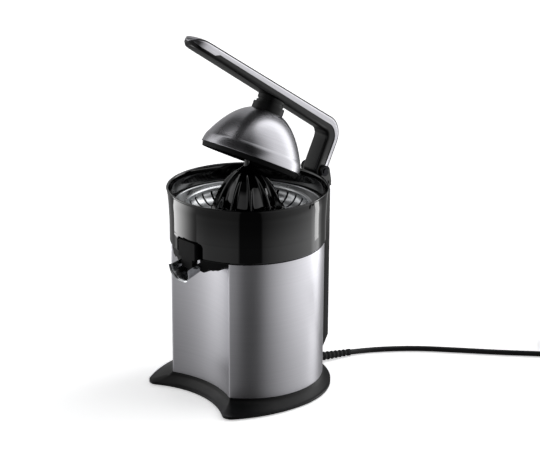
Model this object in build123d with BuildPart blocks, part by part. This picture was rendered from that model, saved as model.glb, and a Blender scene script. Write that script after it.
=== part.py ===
from build123d import *
from math import acos, cos, hypot, pi, radians, sin, sqrt, tan
import os

# Lever citrus juice press. Z is up, the table is z = 0, the body's axis is the Z axis,
# the spout points to -Y and the lever is hinged behind the body at +Y. Millimetres.

os.makedirs("parts", exist_ok=True)


def finish(builder, name):
    """Label a finished piece and write it to its own file."""
    builder.part.label = name
    export_step(builder.part, f"parts/{name}.step")


# ---------------------------------------------------------------- clearances
seat_gap = 0.15          # between pieces that sit in one another
moving_gap = 0.3         # between pieces that move past one another
running_gap = 0.04       # radial, shaft in bush
sliding_gap = 0.1        # per side, square shaft in square bore
sheet_gap = 0.05         # between a sheet and the ledge that it lies on

# ---------------------------------------------------------------- body
body_radius = 80.0
shell_wall = 0.8
shell_bottom = 14.0
shell_top = 160.0
scoop_radius = 106.0     # hollow front of the body
scoop_depth = 24.0       # how far the hollow cuts into the round

# ---------------------------------------------------------------- foot
foot_lift = 1.5          # underside of the foot above the table
foot_edge_top = 4.5      # top of the foot's upright edge
foot_wall = 2.5
foot_back_flare = 8.0    # how far the foot spreads past the body, at its bottom
foot_side_flare = 10.0
foot_shoulder_flare = 15.0
foot_shoulder_angle = 62.0
foot_front_flare = 11.0
foot_horn_proud = 0.9    # at the horn's top, past the body's corner
foot_horn_spread = 15.0
horn_round = 10.0
horn_round_top = 1.5
horn_inset_share = 1.2   # how far a horn's corner draws in, of the wall's inset
flare_power = 1.7
flare_steps = 4
deck_thickness = 3.0     # floor of the foot, under the steel wrap
lip_height = 4.0         # upstand that locates the wrap
lip_wall = 2.2
air_hole_radius = 22.0
air_slot_count = 12
air_slot_width = 2.4

cover_thickness = 2.5
ring_outer = 66.0        # rubber ring under the bottom cover
ring_inner = 58.0
ring_center_y = 6.0
ring_groove = 1.6
cover_screw_circle = 48.0
cover_screw_count = 4
cover_boss_radius = 4.0
small_shank = 1.25
small_head = 3.0
small_head_height = 1.5
cover_screw_length = 8.0

# ---------------------------------------------------------------- tie posts and top deck
tie_points = [(57.0, -30.0), (-57.0, -30.0), (48.0, 52.0), (-48.0, 52.0)]
post_radius = 4.5
tie_shank = 2.0
tie_head = 3.6
tie_head_height = 2.6
tie_screw_length = 26.0
deck_plate = 3.0
deck_flange = 0.8
skirt_height = 5.0
skirt_wall = 2.2
bay_half_width = 19.0    # opening in the deck's front for the spout
bay_setback = 3.0        # from the hollow's deepest line
collar_radius = 13.0
collar_height = 7.2
deck_shaft_hole = 5.6
seal_radius = 9.0
seal_height = 5.5
thrust_boss_radius = 9.5
thrust_boss_height = 0.7

fairing_inset = 0.7      # the fairing's face, behind the body's round
fairing_depth = 7.3
cheek_wall = 3.5
cheek_drop_front = 6.2
cheek_drop_back = 9.2
cheek_setback = 2.0

# ---------------------------------------------------------------- drive
gear_module = 0.8
gear_teeth = 60
pinion_teeth = 12
pressure_angle = 25.0
gear_backlash = 0.12
center_distance = gear_module * (gear_teeth + pinion_teeth) / 2
gear_height = 8.0
rotor_pinion_height = 8.8

gearbox_floor = 117.0    # underside of the gearbox
gearbox_wall = 2.5
gearbox_floor_thickness = 3.0
gearbox_radius = 28.3
gearbox_top = 143.0
gearbox_cover_thickness = 3.0
ear_points = [(30.0, -14.0), (-30.0, -14.0), (30.0, 43.0), (-30.0, 43.0)]
ear_radius = 6.0
ear_height = 6.0
ear_shank = 2.0
ear_head = 3.6
ear_head_height = 2.5
ear_screw_reach = 8.0    # into the deck's post

axle_radius = 2.5
idler_bottom = 122.0
idler_pinion_top = 142.0
output_bottom = 132.5
clip_play = 0.1
hub_radius = 8.0
hub_top = 149.0
bush_outer = 10.5
bush_flange = 12.5
bush_flange_height = 1.4
bush_top = 146.9
clip_outer = 11.0
clip_bottom = 147.3
clip_thickness = 0.7
clip_groove_depth = 0.7
clip_opening = 8.0

square_shaft = 8.0
shaft_radius = 5.0
drive_square = 7.0
shaft_bottom = 135.0
drive_bottom = 188.0
drive_top = 207.0
drive_chamfer = 1.0
press_travel = 2.0
flange_radius = 16.0
flange_bottom = 154.0
flange_thickness = 2.0

spring_radius = 7.0
spring_wire = 1.0
spring_turns = 2.6

switch_start_x = 11.5
switch_length = 20.0
switch_width = 6.4
plunger_x = 14.0
plunger_radius = 1.2
plunger_foot = 149.5
tab_length = 3.5
tab_thickness = 0.8
tab_spacing = 7.0

motor_radius = 27.0
motor_wall = 1.5
motor_bottom = 54.0
motor_boss = 6.0
motor_boss_drop = 2.5
motor_shaft = 2.5
motor_screw_x = 16.0
motor_screw_shank = 1.5
motor_screw_head = 2.8
motor_screw_head_height = 1.8
motor_screw_reach = 3.5
end_cap_thickness = 3.5
end_cap_boss = 9.0
end_cap_boss_drop = 4.5
end_cap_vents = 6
end_cap_vent_radius = 3.2
magnet_inner = 18.8
magnet_arc = 120.0
magnet_bottom = 64.0
magnet_top = 108.0
rotor_radius = 18.2
rotor_bottom = 66.0
rotor_top = 106.0
rotor_slots = 12
rotor_slot_width = 2.0
rotor_slot_depth = 8.0
commutator_radius = 7.0
commutator_bottom = 56.5
commutator_height = 7.5
rotor_shaft_bottom = 33.0
rotor_shaft_top = 131.0
fan_bottom = 34.0
fan_height = 10.0
fan_disc = 1.5
fan_radius = 24.0
fan_hub = 5.0
fan_blades = 9
fan_blade_thickness = 1.2

terminal_x = -45.0
terminal_y = 10.0
terminal_length = 14.0
terminal_width = 24.0
terminal_height = 12.0
terminal_ways = 3

# ---------------------------------------------------------------- bowl, strainer, cone
bowl_bottom = 161.1
bowl_floor = 164.0
bowl_overhang = 1.3      # the bowl's side, past the body's
bowl_shoulder_z = 203.0
bowl_shoulder_flare = 0.7  # past the bowl's straight side
bowl_straight_top = 186.0
bowl_flare_z = 211.0
bowl_flare = 1.9
bowl_edge = 1.6
rim_round = 1.2
bowl_rim_z = 218.4
bowl_rim_flare = 3.2
bowl_wall = 2.5
chimney_outer = 16.0
chimney_bore = 13.5
chimney_top = 186.0
chimney_hole = 6.2
chimney_roof = 2.0
ledge_z = 199.0
ledge_reach = 2.6
ledge_height = 3.0
ledge_edge = 0.6

window_half_width = 20.0
window_top = 177.5
window_depth = 5.8       # from the bowl's straight side
window_wall = 2.5
window_round = 5.0
outlet_half_width = 6.0
outlet_height = 7.5

strainer_play = 1.0      # round the strainer's edge, in the bowl
strainer_metal = 0.7
strainer_rim_width = 6.4
strainer_drop = 4.9
strainer_floor_radius = 40.0
strainer_floor_drop = 9.4
strainer_hole = 16.6
slot_count = 44
slot_inner = 43.5
slot_outer = 68.5
slot_width = 1.7
slot_slant = 25.0

cone_bottom = 193.5
cone_skirt_radius = 38.5
cone_skirt_height = 2.5
cone_outline = [(36.0, 200.0), (31.3, 210.0), (26.5, 220.0), (19.4, 228.0), (9.0, 236.0)]
nib_radius = 3.2
nib_round = 1.2
cone_neck = 239.5        # where the sides run into the nib
neck_sink = 1.5          # the valleys' own neck lies this much lower
nib_top = 247.6
valley_share = 0.80      # radius of the valleys between the fins, of the fins' radius
fin_count = 10
fin_thickness = 3.6
cone_wall = 3.0
cone_hub = 7.5
socket_top = 209.0

# ---------------------------------------------------------------- spout
outlet_block_half = 12.5
outlet_proud = 2.2       # the block's front, past the bowl's straight side
outlet_block_bottom = 159.0
outlet_block_top = 177.2
nozzle_half = 8.0
nozzle_bottom = 148.5
nozzle_step = 0.5        # the nozzle's front, behind the block's
nozzle_gap = 0.1         # from the window's back to the nozzle
nozzle_front_wall = 1.0
nozzle_back_wall = 1.4
duct_half = 4.5
duct_lip = 1.0
outlet_round = 1.5
spout_pivot_inset = 2.6  # from the nozzle's back
spout_pivot_z = 151.3
spout_pin_radius = 1.2
spout_pin_inner = 5.3
spout_pin_outer = 14.8
spout_fall = 11.8        # degrees, slope of the channel at rest
spout_back_reach = 2.1   # the channel's bottom edge starts this far behind the window's back
spout_back_z = 142.4
spout_length = 19.0
spout_bottom_half = 11.5
spout_top_half = 14.5
spout_depth = 13.2
spout_metal = 0.8
spout_corner = 3.5

# ---------------------------------------------------------------- column, fork and lever
column_half_width = 15.5
column_depth = 23.0      # from the body's round to the column's back
column_bottom = 17.0
column_taper_top = 33.0
column_taper_depth = 17.0
column_top = 196.0
column_wall = 2.5
column_round = 3.0
bowl_clearance = 2.3     # from the bowl's straight side to the column and fork

hinge_reach = 16.5       # from the body's round to the hinge
hinge_z = 217.5
open_angle = 27.0        # the lever as drawn stands this far above closed
pin_radius = 3.0
fork_block_bottom = 170.0
fork_step_z = 200.0      # the fork's foot reaches forward below this height
slot_floor_z = 206.0
fork_top = 228.0
fork_reach = 11.6        # from the body's round to the cheeks
tongue_half_width = 11.0
tongue_thickness = 6.0
tongue_bottom = 70.0
fork_screw_spots = [(0.0, 80.0), (0.0, 110.0), (0.0, 140.0)]
column_screw_spots = [(7.5, 50.0), (-7.5, 50.0)]

leg_front = 8.8          # lever section about the hinge, along the arm's direction
leg_back = 8.0
lever_half_width = 12.0
handle_half_width = 15.5
arm_reach = 231.0
knee_height = 57.3       # top line of the arm above the hinge, over the leg's back
arm_top_slope = 5.04
inner_knee_height = 39.9
arm_under_slope = 6.27
knee_round = 23.5
inner_knee_round = 9.0
nose_round = 5.0
cover_metal = 0.8
cover_depth_share = 0.55
cover_end_height = 1.4
cover_leg_depth = 5.0
nose_wrap = 23.0         # the cover reaches deeper over this length of the nose
nose_lip = 1.6
cover_corner = 4.0
cover_step = 6.0
nose_plan_round = 11.0
spine_screw_reach = 16.0
bushing_length = 8.0
pin_clip_outer = 5.4
pin_clip_thickness = 0.6
pin_groove = 0.5
pin_end = 1.0
bush_wall = 1.2
lever_screw_points = [60.0, 190.0]
stud_radius = 3.0
stud_height = 6.0
screw_sink = 4.0

dome_rim_z = 203.0       # rim of the dome when the lever is down
dome_outline = [(53.2, 0.0), (52.4, 5.0), (50.5, 12.0), (46.5, 18.5), (40.9, 27.0),
                (36.0, 34.0), (29.3, 41.5), (22.3, 47.0), (16.0, 49.6)]
dome_metal = 0.8
liner_wall = 2.2
liner_drop = 5.0
liner_taper = 2.4
dome_hole = 6.0
dome_collar_radius = 16.8
dome_collar_height = 7.0
neck_radius = 14.5
neck_groove = 1.2
neck_groove_height = 2.0
neck_reach = 20.0
dome_screw_head = 4.5
dome_screw_head_height = 2.4
dome_screw_bite = 10.0

# ---------------------------------------------------------------- cord
cord_radius = 3.0
relief_start = (17.8, 86.6, 7.3)
relief_direction = (0.22, 0.975, -0.072)
relief_length = 42.0
relief_root_radius = 5.0
relief_tip_radius = 3.7
relief_boss_radius = 5.6
relief_boss_depth = 9.0
relief_neck_radius = 2.4
relief_flange_width = 10.0
relief_flange_height = 5.0
relief_flange_depth = 3.0
cord_route = [(27.1, 127.9, 4.2), (31.5, 142.0, 3.2), (44.0, 163.5, 3.1), (68.0, 193.5, 3.1),
              (100.5, 221.5, 3.1), (137.0, 252.0, 3.1), (171.5, 284.0, 3.1), (203.0, 310.0, 3.1)]
coil_turn_radius = 36.1   # middle of the outer turn
coil_columns = 2
coil_layers = 2
coil_pitch = 6.1         # from turn to turn, sideways
coil_layer_rise = 5.7
plug_length = 32.0
plug_width = 26.0
plug_height = 13.4
plug_boot = 23.0
plug_boot_radius = 4.0
plug_start = 10.0
plug_round = 4.0
plug_pin_radius = 2.0
plug_pin_length = 19.0
plug_pin_spacing = 18.6


# ================================================================ places that follow from these

scoop_back_y = scoop_depth - body_radius
scoop_offset = scoop_radius - scoop_back_y
corner_y = (scoop_radius**2 - scoop_offset**2 - body_radius**2) / (2 * scoop_offset)
corner_x = sqrt(body_radius**2 - corner_y**2)
bay_back_y = scoop_back_y - bay_setback
fairing_radius = body_radius - fairing_inset
bowl_radius = body_radius + bowl_overhang
bowl_rim_radius = bowl_radius + bowl_rim_flare
strainer_radius = bowl_radius - bowl_wall - strainer_play
window_back_y = window_depth - bowl_radius
outlet_block_front = -bowl_radius - outlet_proud
nozzle_front_y = outlet_block_front + nozzle_step
nozzle_back_y = window_back_y - nozzle_gap
duct_front_y = nozzle_front_y + nozzle_front_wall
duct_back_y = nozzle_back_y - nozzle_back_wall
spout_pivot_y = nozzle_back_y - spout_pivot_inset
spout_back_y = window_back_y + spout_back_reach
column_back_y = body_radius + column_depth
hinge_y = body_radius + hinge_reach
fork_front_y = body_radius + fork_reach
bowl_clearance_radius = bowl_radius + bowl_clearance

# ================================================================ shared outlines

def body_plan(inset):
    """Plan of the body, a round with a hollow front, drawn in by inset."""
    with BuildSketch() as plan:
        Circle(body_radius - inset)
        with Locations((0, -scoop_offset)):
            Circle(scoop_radius + inset, mode=Mode.SUBTRACT)
    return plan.sketch


def foot_plan(flare, inset=0.0):
    """Plan of the foot; flare runs from 0 at the body to 1 at the table."""
    side = body_radius + foot_side_flare * flare - inset
    back = body_radius + foot_back_flare * flare - inset
    shoulder = body_radius + foot_shoulder_flare * flare - inset
    front = scoop_radius - foot_front_flare * flare + inset
    horn_x = corner_x + foot_horn_proud + foot_horn_spread * flare - horn_inset_share * inset
    horn_y = sqrt(front**2 - horn_x**2) - scoop_offset
    horn_radius = horn_round_top + (horn_round - horn_round_top) * flare
    angle = radians(foot_shoulder_angle)
    shoulder_x, shoulder_y = shoulder * sin(angle), -shoulder * cos(angle)
    with BuildSketch() as plan:
        with BuildLine():
            ThreePointArc((-side, 0), (0, back), (side, 0))
            ThreePointArc((side, 0), (shoulder_x, shoulder_y), (horn_x, horn_y))
            ThreePointArc((horn_x, horn_y), (0, front - scoop_offset), (-horn_x, horn_y))
            ThreePointArc((-horn_x, horn_y), (-shoulder_x, shoulder_y), (-side, 0))
        make_face()
        fillet(plan.vertices().sort_by(Axis.Y)[0:2], max(horn_radius - inset, horn_round_top))
    return plan.sketch


def flare_levels(top):
    """Heights and flares of the foot's sections, from its upright edge to a top."""
    span = shell_bottom - foot_edge_top
    levels = []
    for step in range(flare_steps + 1):
        height = foot_edge_top + (top - foot_edge_top) * step / flare_steps
        levels.append((height, ((shell_bottom - height) / span) ** flare_power))
    return levels


def gear_outline(teeth, phase, backlash):
    """Involute gear, with the middle of a tooth at the phase angle (degrees)."""
    pitch = gear_module * teeth / 2
    tip = pitch + 0.9 * gear_module
    root = pitch - 1.2 * gear_module
    base = pitch * cos(radians(pressure_angle))
    start = max(base, root) + 0.01

    def flank_angle(radius):
        at_pitch = tan(radians(pressure_angle)) - radians(pressure_angle)
        local = acos(min(1.0, base / radius))
        return pi / (2 * teeth) - backlash / (2 * pitch) + at_pitch - (tan(local) - local)

    def place(radius, angle):
        return (radius * cos(angle), radius * sin(angle))

    middle = (start + tip) / 2
    with BuildSketch() as outline:
        with BuildLine():
            for tooth in range(teeth):
                axis = radians(phase) + 2 * pi * tooth / teeth
                low, mid, high = (flank_angle(radius) for radius in (start, middle, tip))
                after = axis + 2 * pi / teeth
                Line(place(root, axis - low), place(start, axis - low))
                ThreePointArc(place(start, axis - low), place(middle, axis - mid),
                              place(tip, axis - high))
                Line(place(tip, axis - high), place(tip, axis + high))
                ThreePointArc(place(tip, axis + high), place(middle, axis + mid),
                              place(start, axis + low))
                Line(place(start, axis + low), place(root, axis + low))
                Line(place(root, axis + low), place(root, after - low))
        make_face()
    return outline.sketch


def gearbox_plan(radius):
    """Plan of the gearbox: a rounded outline about the two gear axes."""
    with BuildSketch() as plan:
        with Locations((0, 0), (0, center_distance)):
            Circle(radius)
        make_hull()
    return plan.sketch


# ================================================================ foot and shell

floor_inside = shell_bottom - deck_thickness
relief_plane = Plane(origin=relief_start, x_dir=(relief_direction[1], -relief_direction[0], 0),
                     z_dir=relief_direction)

with BuildPart() as base_foot:
    with BuildSketch(Plane.XY.offset(foot_lift)):
        add(foot_plan(1))
    extrude(amount=foot_edge_top - foot_lift)
    for height, flare in flare_levels(shell_bottom):
        with BuildSketch(Plane.XY.offset(height)):
            add(foot_plan(flare))
    loft()
    with BuildSketch(Plane.XY.offset(foot_lift)):
        add(foot_plan(1, foot_wall))
    extrude(amount=foot_edge_top - foot_lift, mode=Mode.SUBTRACT)
    for height, flare in flare_levels(floor_inside):
        with BuildSketch(Plane.XY.offset(height)):
            add(foot_plan(flare, foot_wall))
    loft(mode=Mode.SUBTRACT)
    with BuildSketch(Plane.XY.offset(shell_bottom)):
        add(body_plan(shell_wall + seat_gap))
        add(body_plan(shell_wall + seat_gap + lip_wall), mode=Mode.SUBTRACT)
    extrude(amount=lip_height)
    with BuildSketch(Plane.XY.offset(foot_lift + cover_thickness)):
        with Locations((0, ring_center_y)):
            with PolarLocations(cover_screw_circle, cover_screw_count, start_angle=45):
                Circle(cover_boss_radius)
    extrude(amount=floor_inside - foot_lift - cover_thickness)
    with BuildSketch(Plane.XY.offset(foot_lift + cover_thickness)):
        with Locations((0, ring_center_y)):
            with PolarLocations(cover_screw_circle, cover_screw_count, start_angle=45):
                Circle(small_shank + running_gap)
    extrude(amount=cover_screw_length, mode=Mode.SUBTRACT)
    with BuildSketch(Plane.XY.offset(floor_inside)):
        Circle(air_hole_radius)
        with Locations(*tie_points):
            Circle(tie_shank + moving_gap)
    extrude(amount=deck_thickness, mode=Mode.SUBTRACT)
    with BuildSketch(relief_plane.offset(-relief_boss_depth)):
        Circle(relief_boss_radius)
        Circle(relief_neck_radius + seat_gap, mode=Mode.SUBTRACT)
    extrude(amount=relief_boss_depth - seat_gap)
    with BuildSketch(relief_plane.offset(-relief_boss_depth)):
        Circle(relief_neck_radius + seat_gap)
    extrude(amount=relief_boss_depth, mode=Mode.SUBTRACT)
    with BuildSketch(relief_plane.offset(-seat_gap)):
        Circle(relief_root_radius + seat_gap)
    extrude(amount=relief_root_radius, mode=Mode.SUBTRACT)
finish(base_foot, "base_foot")

with BuildPart() as bottom_cover:
    with BuildSketch(Plane.XY.offset(foot_lift)):
        add(foot_plan(1, foot_wall + seat_gap))
    extrude(amount=cover_thickness)
    with BuildSketch(Plane.XY.offset(foot_lift)):
        with Locations((0, ring_center_y)):
            Circle(ring_outer + seat_gap)
            Circle(ring_inner - seat_gap, mode=Mode.SUBTRACT)
    extrude(amount=ring_groove, mode=Mode.SUBTRACT)
    with Locations(Location((0, ring_center_y, foot_lift), (180, 0, 0))):
        with PolarLocations(cover_screw_circle, cover_screw_count, start_angle=45):
            CounterBoreHole(small_shank + moving_gap, small_head + moving_gap, small_head_height)
    with BuildSketch(Plane.XY.offset(foot_lift)):
        with PolarLocations(air_hole_radius / 2, air_slot_count):
            SlotOverall(air_hole_radius / 2, air_slot_width)
    extrude(amount=cover_thickness, mode=Mode.SUBTRACT)
    with BuildSketch(relief_plane.offset(-relief_boss_depth - moving_gap)):
        Circle(relief_boss_radius + moving_gap)
    extrude(amount=relief_boss_depth, mode=Mode.SUBTRACT)
finish(bottom_cover, "bottom_cover")

with BuildPart() as anti_slip_ring:
    with BuildSketch():
        with Locations((0, ring_center_y)):
            Circle(ring_outer)
            Circle(ring_inner, mode=Mode.SUBTRACT)
    extrude(amount=foot_lift + ring_groove)
finish(anti_slip_ring, "anti_slip_ring")

with BuildPart() as cover_screws:
    with Locations((0, ring_center_y)):
        with PolarLocations(cover_screw_circle, cover_screw_count, start_angle=45):
            with Locations((0, 0, foot_lift)):
                Cylinder(small_head, small_head_height,
                         align=(Align.CENTER, Align.CENTER, Align.MIN))
                Cylinder(small_shank, cover_screw_length,
                         align=(Align.CENTER, Align.CENTER, Align.MIN))
finish(cover_screws, "cover_screws")

with BuildPart() as housing_screws:
    with Locations(*[(x, y, floor_inside - tie_head_height) for x, y in tie_points]):
        Cylinder(tie_head, tie_head_height, align=(Align.CENTER, Align.CENTER, Align.MIN))
        Cylinder(tie_shank, tie_screw_length, align=(Align.CENTER, Align.CENTER, Align.MIN))
finish(housing_screws, "housing_screws")

with BuildPart() as steel_shell:
    with BuildSketch(Plane.XY.offset(shell_bottom)):
        add(body_plan(0))
        add(body_plan(shell_wall), mode=Mode.SUBTRACT)
    extrude(amount=shell_top - shell_bottom)
    with BuildSketch(Plane.XZ.offset(-body_radius - shell_wall)):
        with Locations(*fork_screw_spots, *column_screw_spots):
            Circle(tie_shank + moving_gap)
    extrude(amount=4 * shell_wall, mode=Mode.SUBTRACT)
finish(steel_shell, "steel_shell")

# ================================================================ top deck and fairing

deck_bottom = shell_top - deck_plate
cover_top = gearbox_top + gearbox_cover_thickness
deck_top = shell_top + deck_flange
tie_pilot_top = floor_inside - tie_head_height + tie_screw_length + 2 * seat_gap

with BuildPart() as top_deck:
    with BuildSketch(Plane.XY.offset(deck_bottom)):
        add(body_plan(shell_wall + seat_gap))
    extrude(amount=deck_plate)
    with BuildSketch(Plane.XY.offset(shell_top)):
        Circle(body_radius)
        with Locations((0, bay_back_y)):
            Rectangle(2 * bay_half_width, body_radius, align=(Align.CENTER, Align.MAX),
                      mode=Mode.SUBTRACT)
    extrude(amount=deck_flange)
    with BuildSketch(Plane.XY.offset(deck_bottom - skirt_height)):
        add(body_plan(shell_wall + seat_gap))
        add(body_plan(shell_wall + seat_gap + skirt_wall), mode=Mode.SUBTRACT)
    extrude(amount=skirt_height)
    with BuildSketch(Plane.XY.offset(shell_bottom)):
        with Locations(*tie_points):
            Circle(post_radius)
    extrude(amount=deck_bottom - shell_bottom)
    with BuildSketch(Plane.XY.offset(cover_top)):
        with Locations(*ear_points):
            Circle(post_radius)
    extrude(amount=deck_bottom - cover_top)
    with BuildSketch(Plane.XY.offset(deck_top)):
        Circle(collar_radius)
    extrude(amount=collar_height)
    with BuildSketch(Plane.XY.offset(deck_bottom - thrust_boss_height)):
        Circle(thrust_boss_radius)
    extrude(amount=thrust_boss_height)
    with BuildSketch(Plane.XY.offset(deck_bottom - thrust_boss_height)):
        Circle(deck_shaft_hole)
    extrude(amount=collar_height + deck_top, mode=Mode.SUBTRACT)
    with BuildSketch(Plane.XY.offset(deck_top + collar_height - seal_height)):
        Circle(seal_radius)
    extrude(amount=seal_height, mode=Mode.SUBTRACT)
    with BuildSketch(Plane.XY.offset(shell_bottom)):
        with Locations(*tie_points):
            Circle(tie_shank + running_gap)
    extrude(amount=tie_pilot_top - shell_bottom, mode=Mode.SUBTRACT)
    with BuildSketch(Plane.XY.offset(cover_top)):
        with Locations(*ear_points):
            Circle(ear_shank + running_gap)
    extrude(amount=ear_screw_reach + 2 * seat_gap, mode=Mode.SUBTRACT)
finish(top_deck, "top_deck")

with BuildPart() as shaft_seal:
    with BuildSketch(Plane.XY.offset(deck_top + collar_height - seal_height)):
        Circle(seal_radius)
        Circle(shaft_radius + running_gap, mode=Mode.SUBTRACT)
    extrude(amount=seal_height)
finish(shaft_seal, "shaft_seal")

fairing_bottom = shell_top - fairing_depth

with BuildPart() as spout_fairing:
    with BuildSketch(Plane.XY.offset(fairing_bottom)):
        Circle(fairing_radius)
        add(body_plan(-seat_gap), mode=Mode.SUBTRACT)
        with Locations((0, bay_back_y)):
            Rectangle(2 * bay_half_width, body_radius, align=(Align.CENTER, Align.MAX),
                      mode=Mode.SUBTRACT)
    extrude(amount=fairing_depth)
    with BuildSketch(Plane.YZ.offset(bay_half_width)):
        with BuildLine():
            Polyline((cheek_setback - fairing_radius, fairing_bottom),
                     (cheek_setback - fairing_radius, fairing_bottom - cheek_drop_front),
                     (scoop_back_y, fairing_bottom - cheek_drop_back),
                     (scoop_back_y, fairing_bottom), close=True)
        make_face()
    extrude(amount=cheek_wall)
    mirror(about=Plane.YZ)
    with BuildSketch(Plane.XY.offset(fairing_bottom - cheek_drop_back)):
        Circle(2 * body_radius)
        Circle(fairing_radius, mode=Mode.SUBTRACT)
        add(body_plan(-seat_gap))
    extrude(amount=cheek_drop_back + fairing_depth, mode=Mode.SUBTRACT)
finish(spout_fairing, "spout_fairing")

# ================================================================ bowl

bowl_inner = bowl_radius - bowl_wall
shoulder_radius = bowl_radius + bowl_shoulder_flare

with BuildPart() as juice_bowl:
    with BuildSketch(Plane.XZ):
        with BuildLine():
            Polyline((chimney_bore, bowl_bottom), (bowl_radius - bowl_edge, bowl_bottom),
                     (bowl_radius, bowl_bottom + bowl_edge), (bowl_radius, bowl_straight_top),
                     (shoulder_radius, bowl_shoulder_z), (bowl_radius + bowl_flare, bowl_flare_z),
                     (bowl_rim_radius, bowl_rim_z - rim_round))
            ThreePointArc((bowl_rim_radius, bowl_rim_z - rim_round),
                          (bowl_rim_radius - rim_round, bowl_rim_z),
                          (bowl_rim_radius - 2 * rim_round, bowl_rim_z - rim_round))
            Polyline((bowl_rim_radius - 2 * rim_round, bowl_rim_z - rim_round),
                     (shoulder_radius - bowl_wall, bowl_shoulder_z), (bowl_inner, ledge_z),
                     (bowl_inner - ledge_reach, ledge_z),
                     (bowl_inner - ledge_reach, ledge_z - ledge_edge),
                     (bowl_inner, ledge_z - ledge_height), (bowl_inner, bowl_floor + bowl_wall),
                     (bowl_inner - bowl_wall, bowl_floor), (chimney_outer, bowl_floor),
                     (chimney_outer, chimney_top), (chimney_hole, chimney_top),
                     (chimney_hole, chimney_top - chimney_roof),
                     (chimney_bore, chimney_top - chimney_roof), (chimney_bore, bowl_bottom))
        make_face()
    revolve(axis=Axis.Z)
    with BuildSketch(Plane.XY.offset(bowl_bottom)):
        with Locations((0, window_back_y + window_wall)):
            Rectangle(2 * (window_half_width + window_wall), body_radius,
                      align=(Align.CENTER, Align.MAX))
        Circle(bowl_radius, mode=Mode.INTERSECT)
    extrude(amount=window_top + window_wall - bowl_bottom)
    with BuildSketch(Plane.XZ.offset(-window_back_y)):
        with Locations((0, bowl_bottom - window_round)):
            Rectangle(2 * window_half_width, window_top - bowl_bottom + window_round,
                      align=(Align.CENTER, Align.MIN))
        fillet(vertices().sort_by(Axis.Y)[-2:], window_round)
    extrude(amount=body_radius, mode=Mode.SUBTRACT)
    with BuildSketch(Plane.XZ.offset(-window_back_y)):
        with Locations((0, bowl_floor)):
            Rectangle(2 * outlet_half_width, outlet_height, align=(Align.CENTER, Align.MIN))
    extrude(amount=-2 * window_wall, mode=Mode.SUBTRACT)
finish(juice_bowl, "juice_bowl")

# ================================================================ strainer and cone

strainer_top = ledge_z + sheet_gap + strainer_metal
rim_inner = strainer_radius - strainer_rim_width
step_z = strainer_top - strainer_drop
floor_z = strainer_top - strainer_floor_drop

with BuildPart() as strainer:
    with BuildSketch(Plane.XZ):
        with BuildLine():
            Polyline((strainer_radius, strainer_top), (rim_inner, strainer_top),
                     (rim_inner - strainer_metal, step_z),
                     (strainer_floor_radius, floor_z), (strainer_hole, floor_z),
                     (strainer_hole, floor_z - strainer_metal),
                     (strainer_floor_radius, floor_z - strainer_metal),
                     (rim_inner, step_z - strainer_metal),
                     (rim_inner + strainer_metal, strainer_top - strainer_metal),
                     (strainer_radius, strainer_top - strainer_metal), close=True)
        make_face()
    revolve(axis=Axis.Z)
    with BuildSketch(Plane.XY.offset(floor_z - 2 * strainer_metal)):
        with PolarLocations((slot_inner + slot_outer) / 2, slot_count):
            SlotOverall((slot_outer - slot_inner) / cos(radians(slot_slant)), slot_width,
                        rotation=slot_slant)
    extrude(amount=strainer_floor_drop, mode=Mode.SUBTRACT)
finish(strainer, "strainer")


def cone_profile(share, base_radius, top):
    """Half of the cone's silhouette, its curved side drawn in by a share."""
    side = [(radius * share, height) for radius, height in cone_outline]
    with BuildSketch(Plane.XZ) as profile:
        with BuildLine():
            Line((0, cone_bottom), (base_radius, cone_bottom))
            Line((base_radius, cone_bottom), (base_radius, cone_bottom + cone_skirt_height))
            Spline((base_radius, cone_bottom + cone_skirt_height), *side, (nib_radius, top))
            Line((nib_radius, top), (0, top))
            Line((0, top), (0, cone_bottom))
        make_face()
    return profile.sketch


valley_radius = cone_skirt_radius * valley_share
full_profile = cone_profile(1, cone_skirt_radius, cone_neck)
valley_profile = cone_profile(valley_share, valley_radius, cone_neck - neck_sink)
fin = extrude(full_profile, amount=fin_thickness / 2, both=True, mode=Mode.PRIVATE)
hollow_side = [(radius * valley_share - cone_wall, height) for radius, height in cone_outline[:-1]]
hollow_foot = valley_radius - cone_wall

with BuildPart() as reamer:
    add(revolve(valley_profile, axis=Axis.Z, mode=Mode.PRIVATE))
    for turn in range(fin_count):
        add(fin.rotate(Axis.Z, 360 / fin_count * turn))
    with BuildSketch(Plane.XY.offset(cone_bottom)):
        Circle(cone_skirt_radius)
    extrude(amount=cone_skirt_height)
    with BuildSketch(Plane.XY.offset(cone_neck - 2 * neck_sink)):
        Circle(nib_radius)
    extrude(amount=nib_top - cone_neck + 2 * neck_sink)
    fillet(reamer.faces().sort_by(Axis.Z)[-1].edges(), nib_round)
    with BuildSketch(Plane.XZ):
        with BuildLine():
            Polyline((cone_hub, cone_bottom), (hollow_foot, cone_bottom), *hollow_side,
                     (cone_hub, cone_outline[-2][1]), close=True)
        make_face()
    revolve(axis=Axis.Z, mode=Mode.SUBTRACT)
    with BuildSketch(Plane.XY.offset(cone_bottom)):
        Rectangle(drive_square + 2 * sliding_gap, drive_square + 2 * sliding_gap)
    extrude(amount=socket_top - cone_bottom, mode=Mode.SUBTRACT)
finish(reamer, "reamer")

# ================================================================ drive train

output_phase = 90.0      # a tooth towards the idler
idler_phase = -90.0      # a gap towards the output gear

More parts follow.
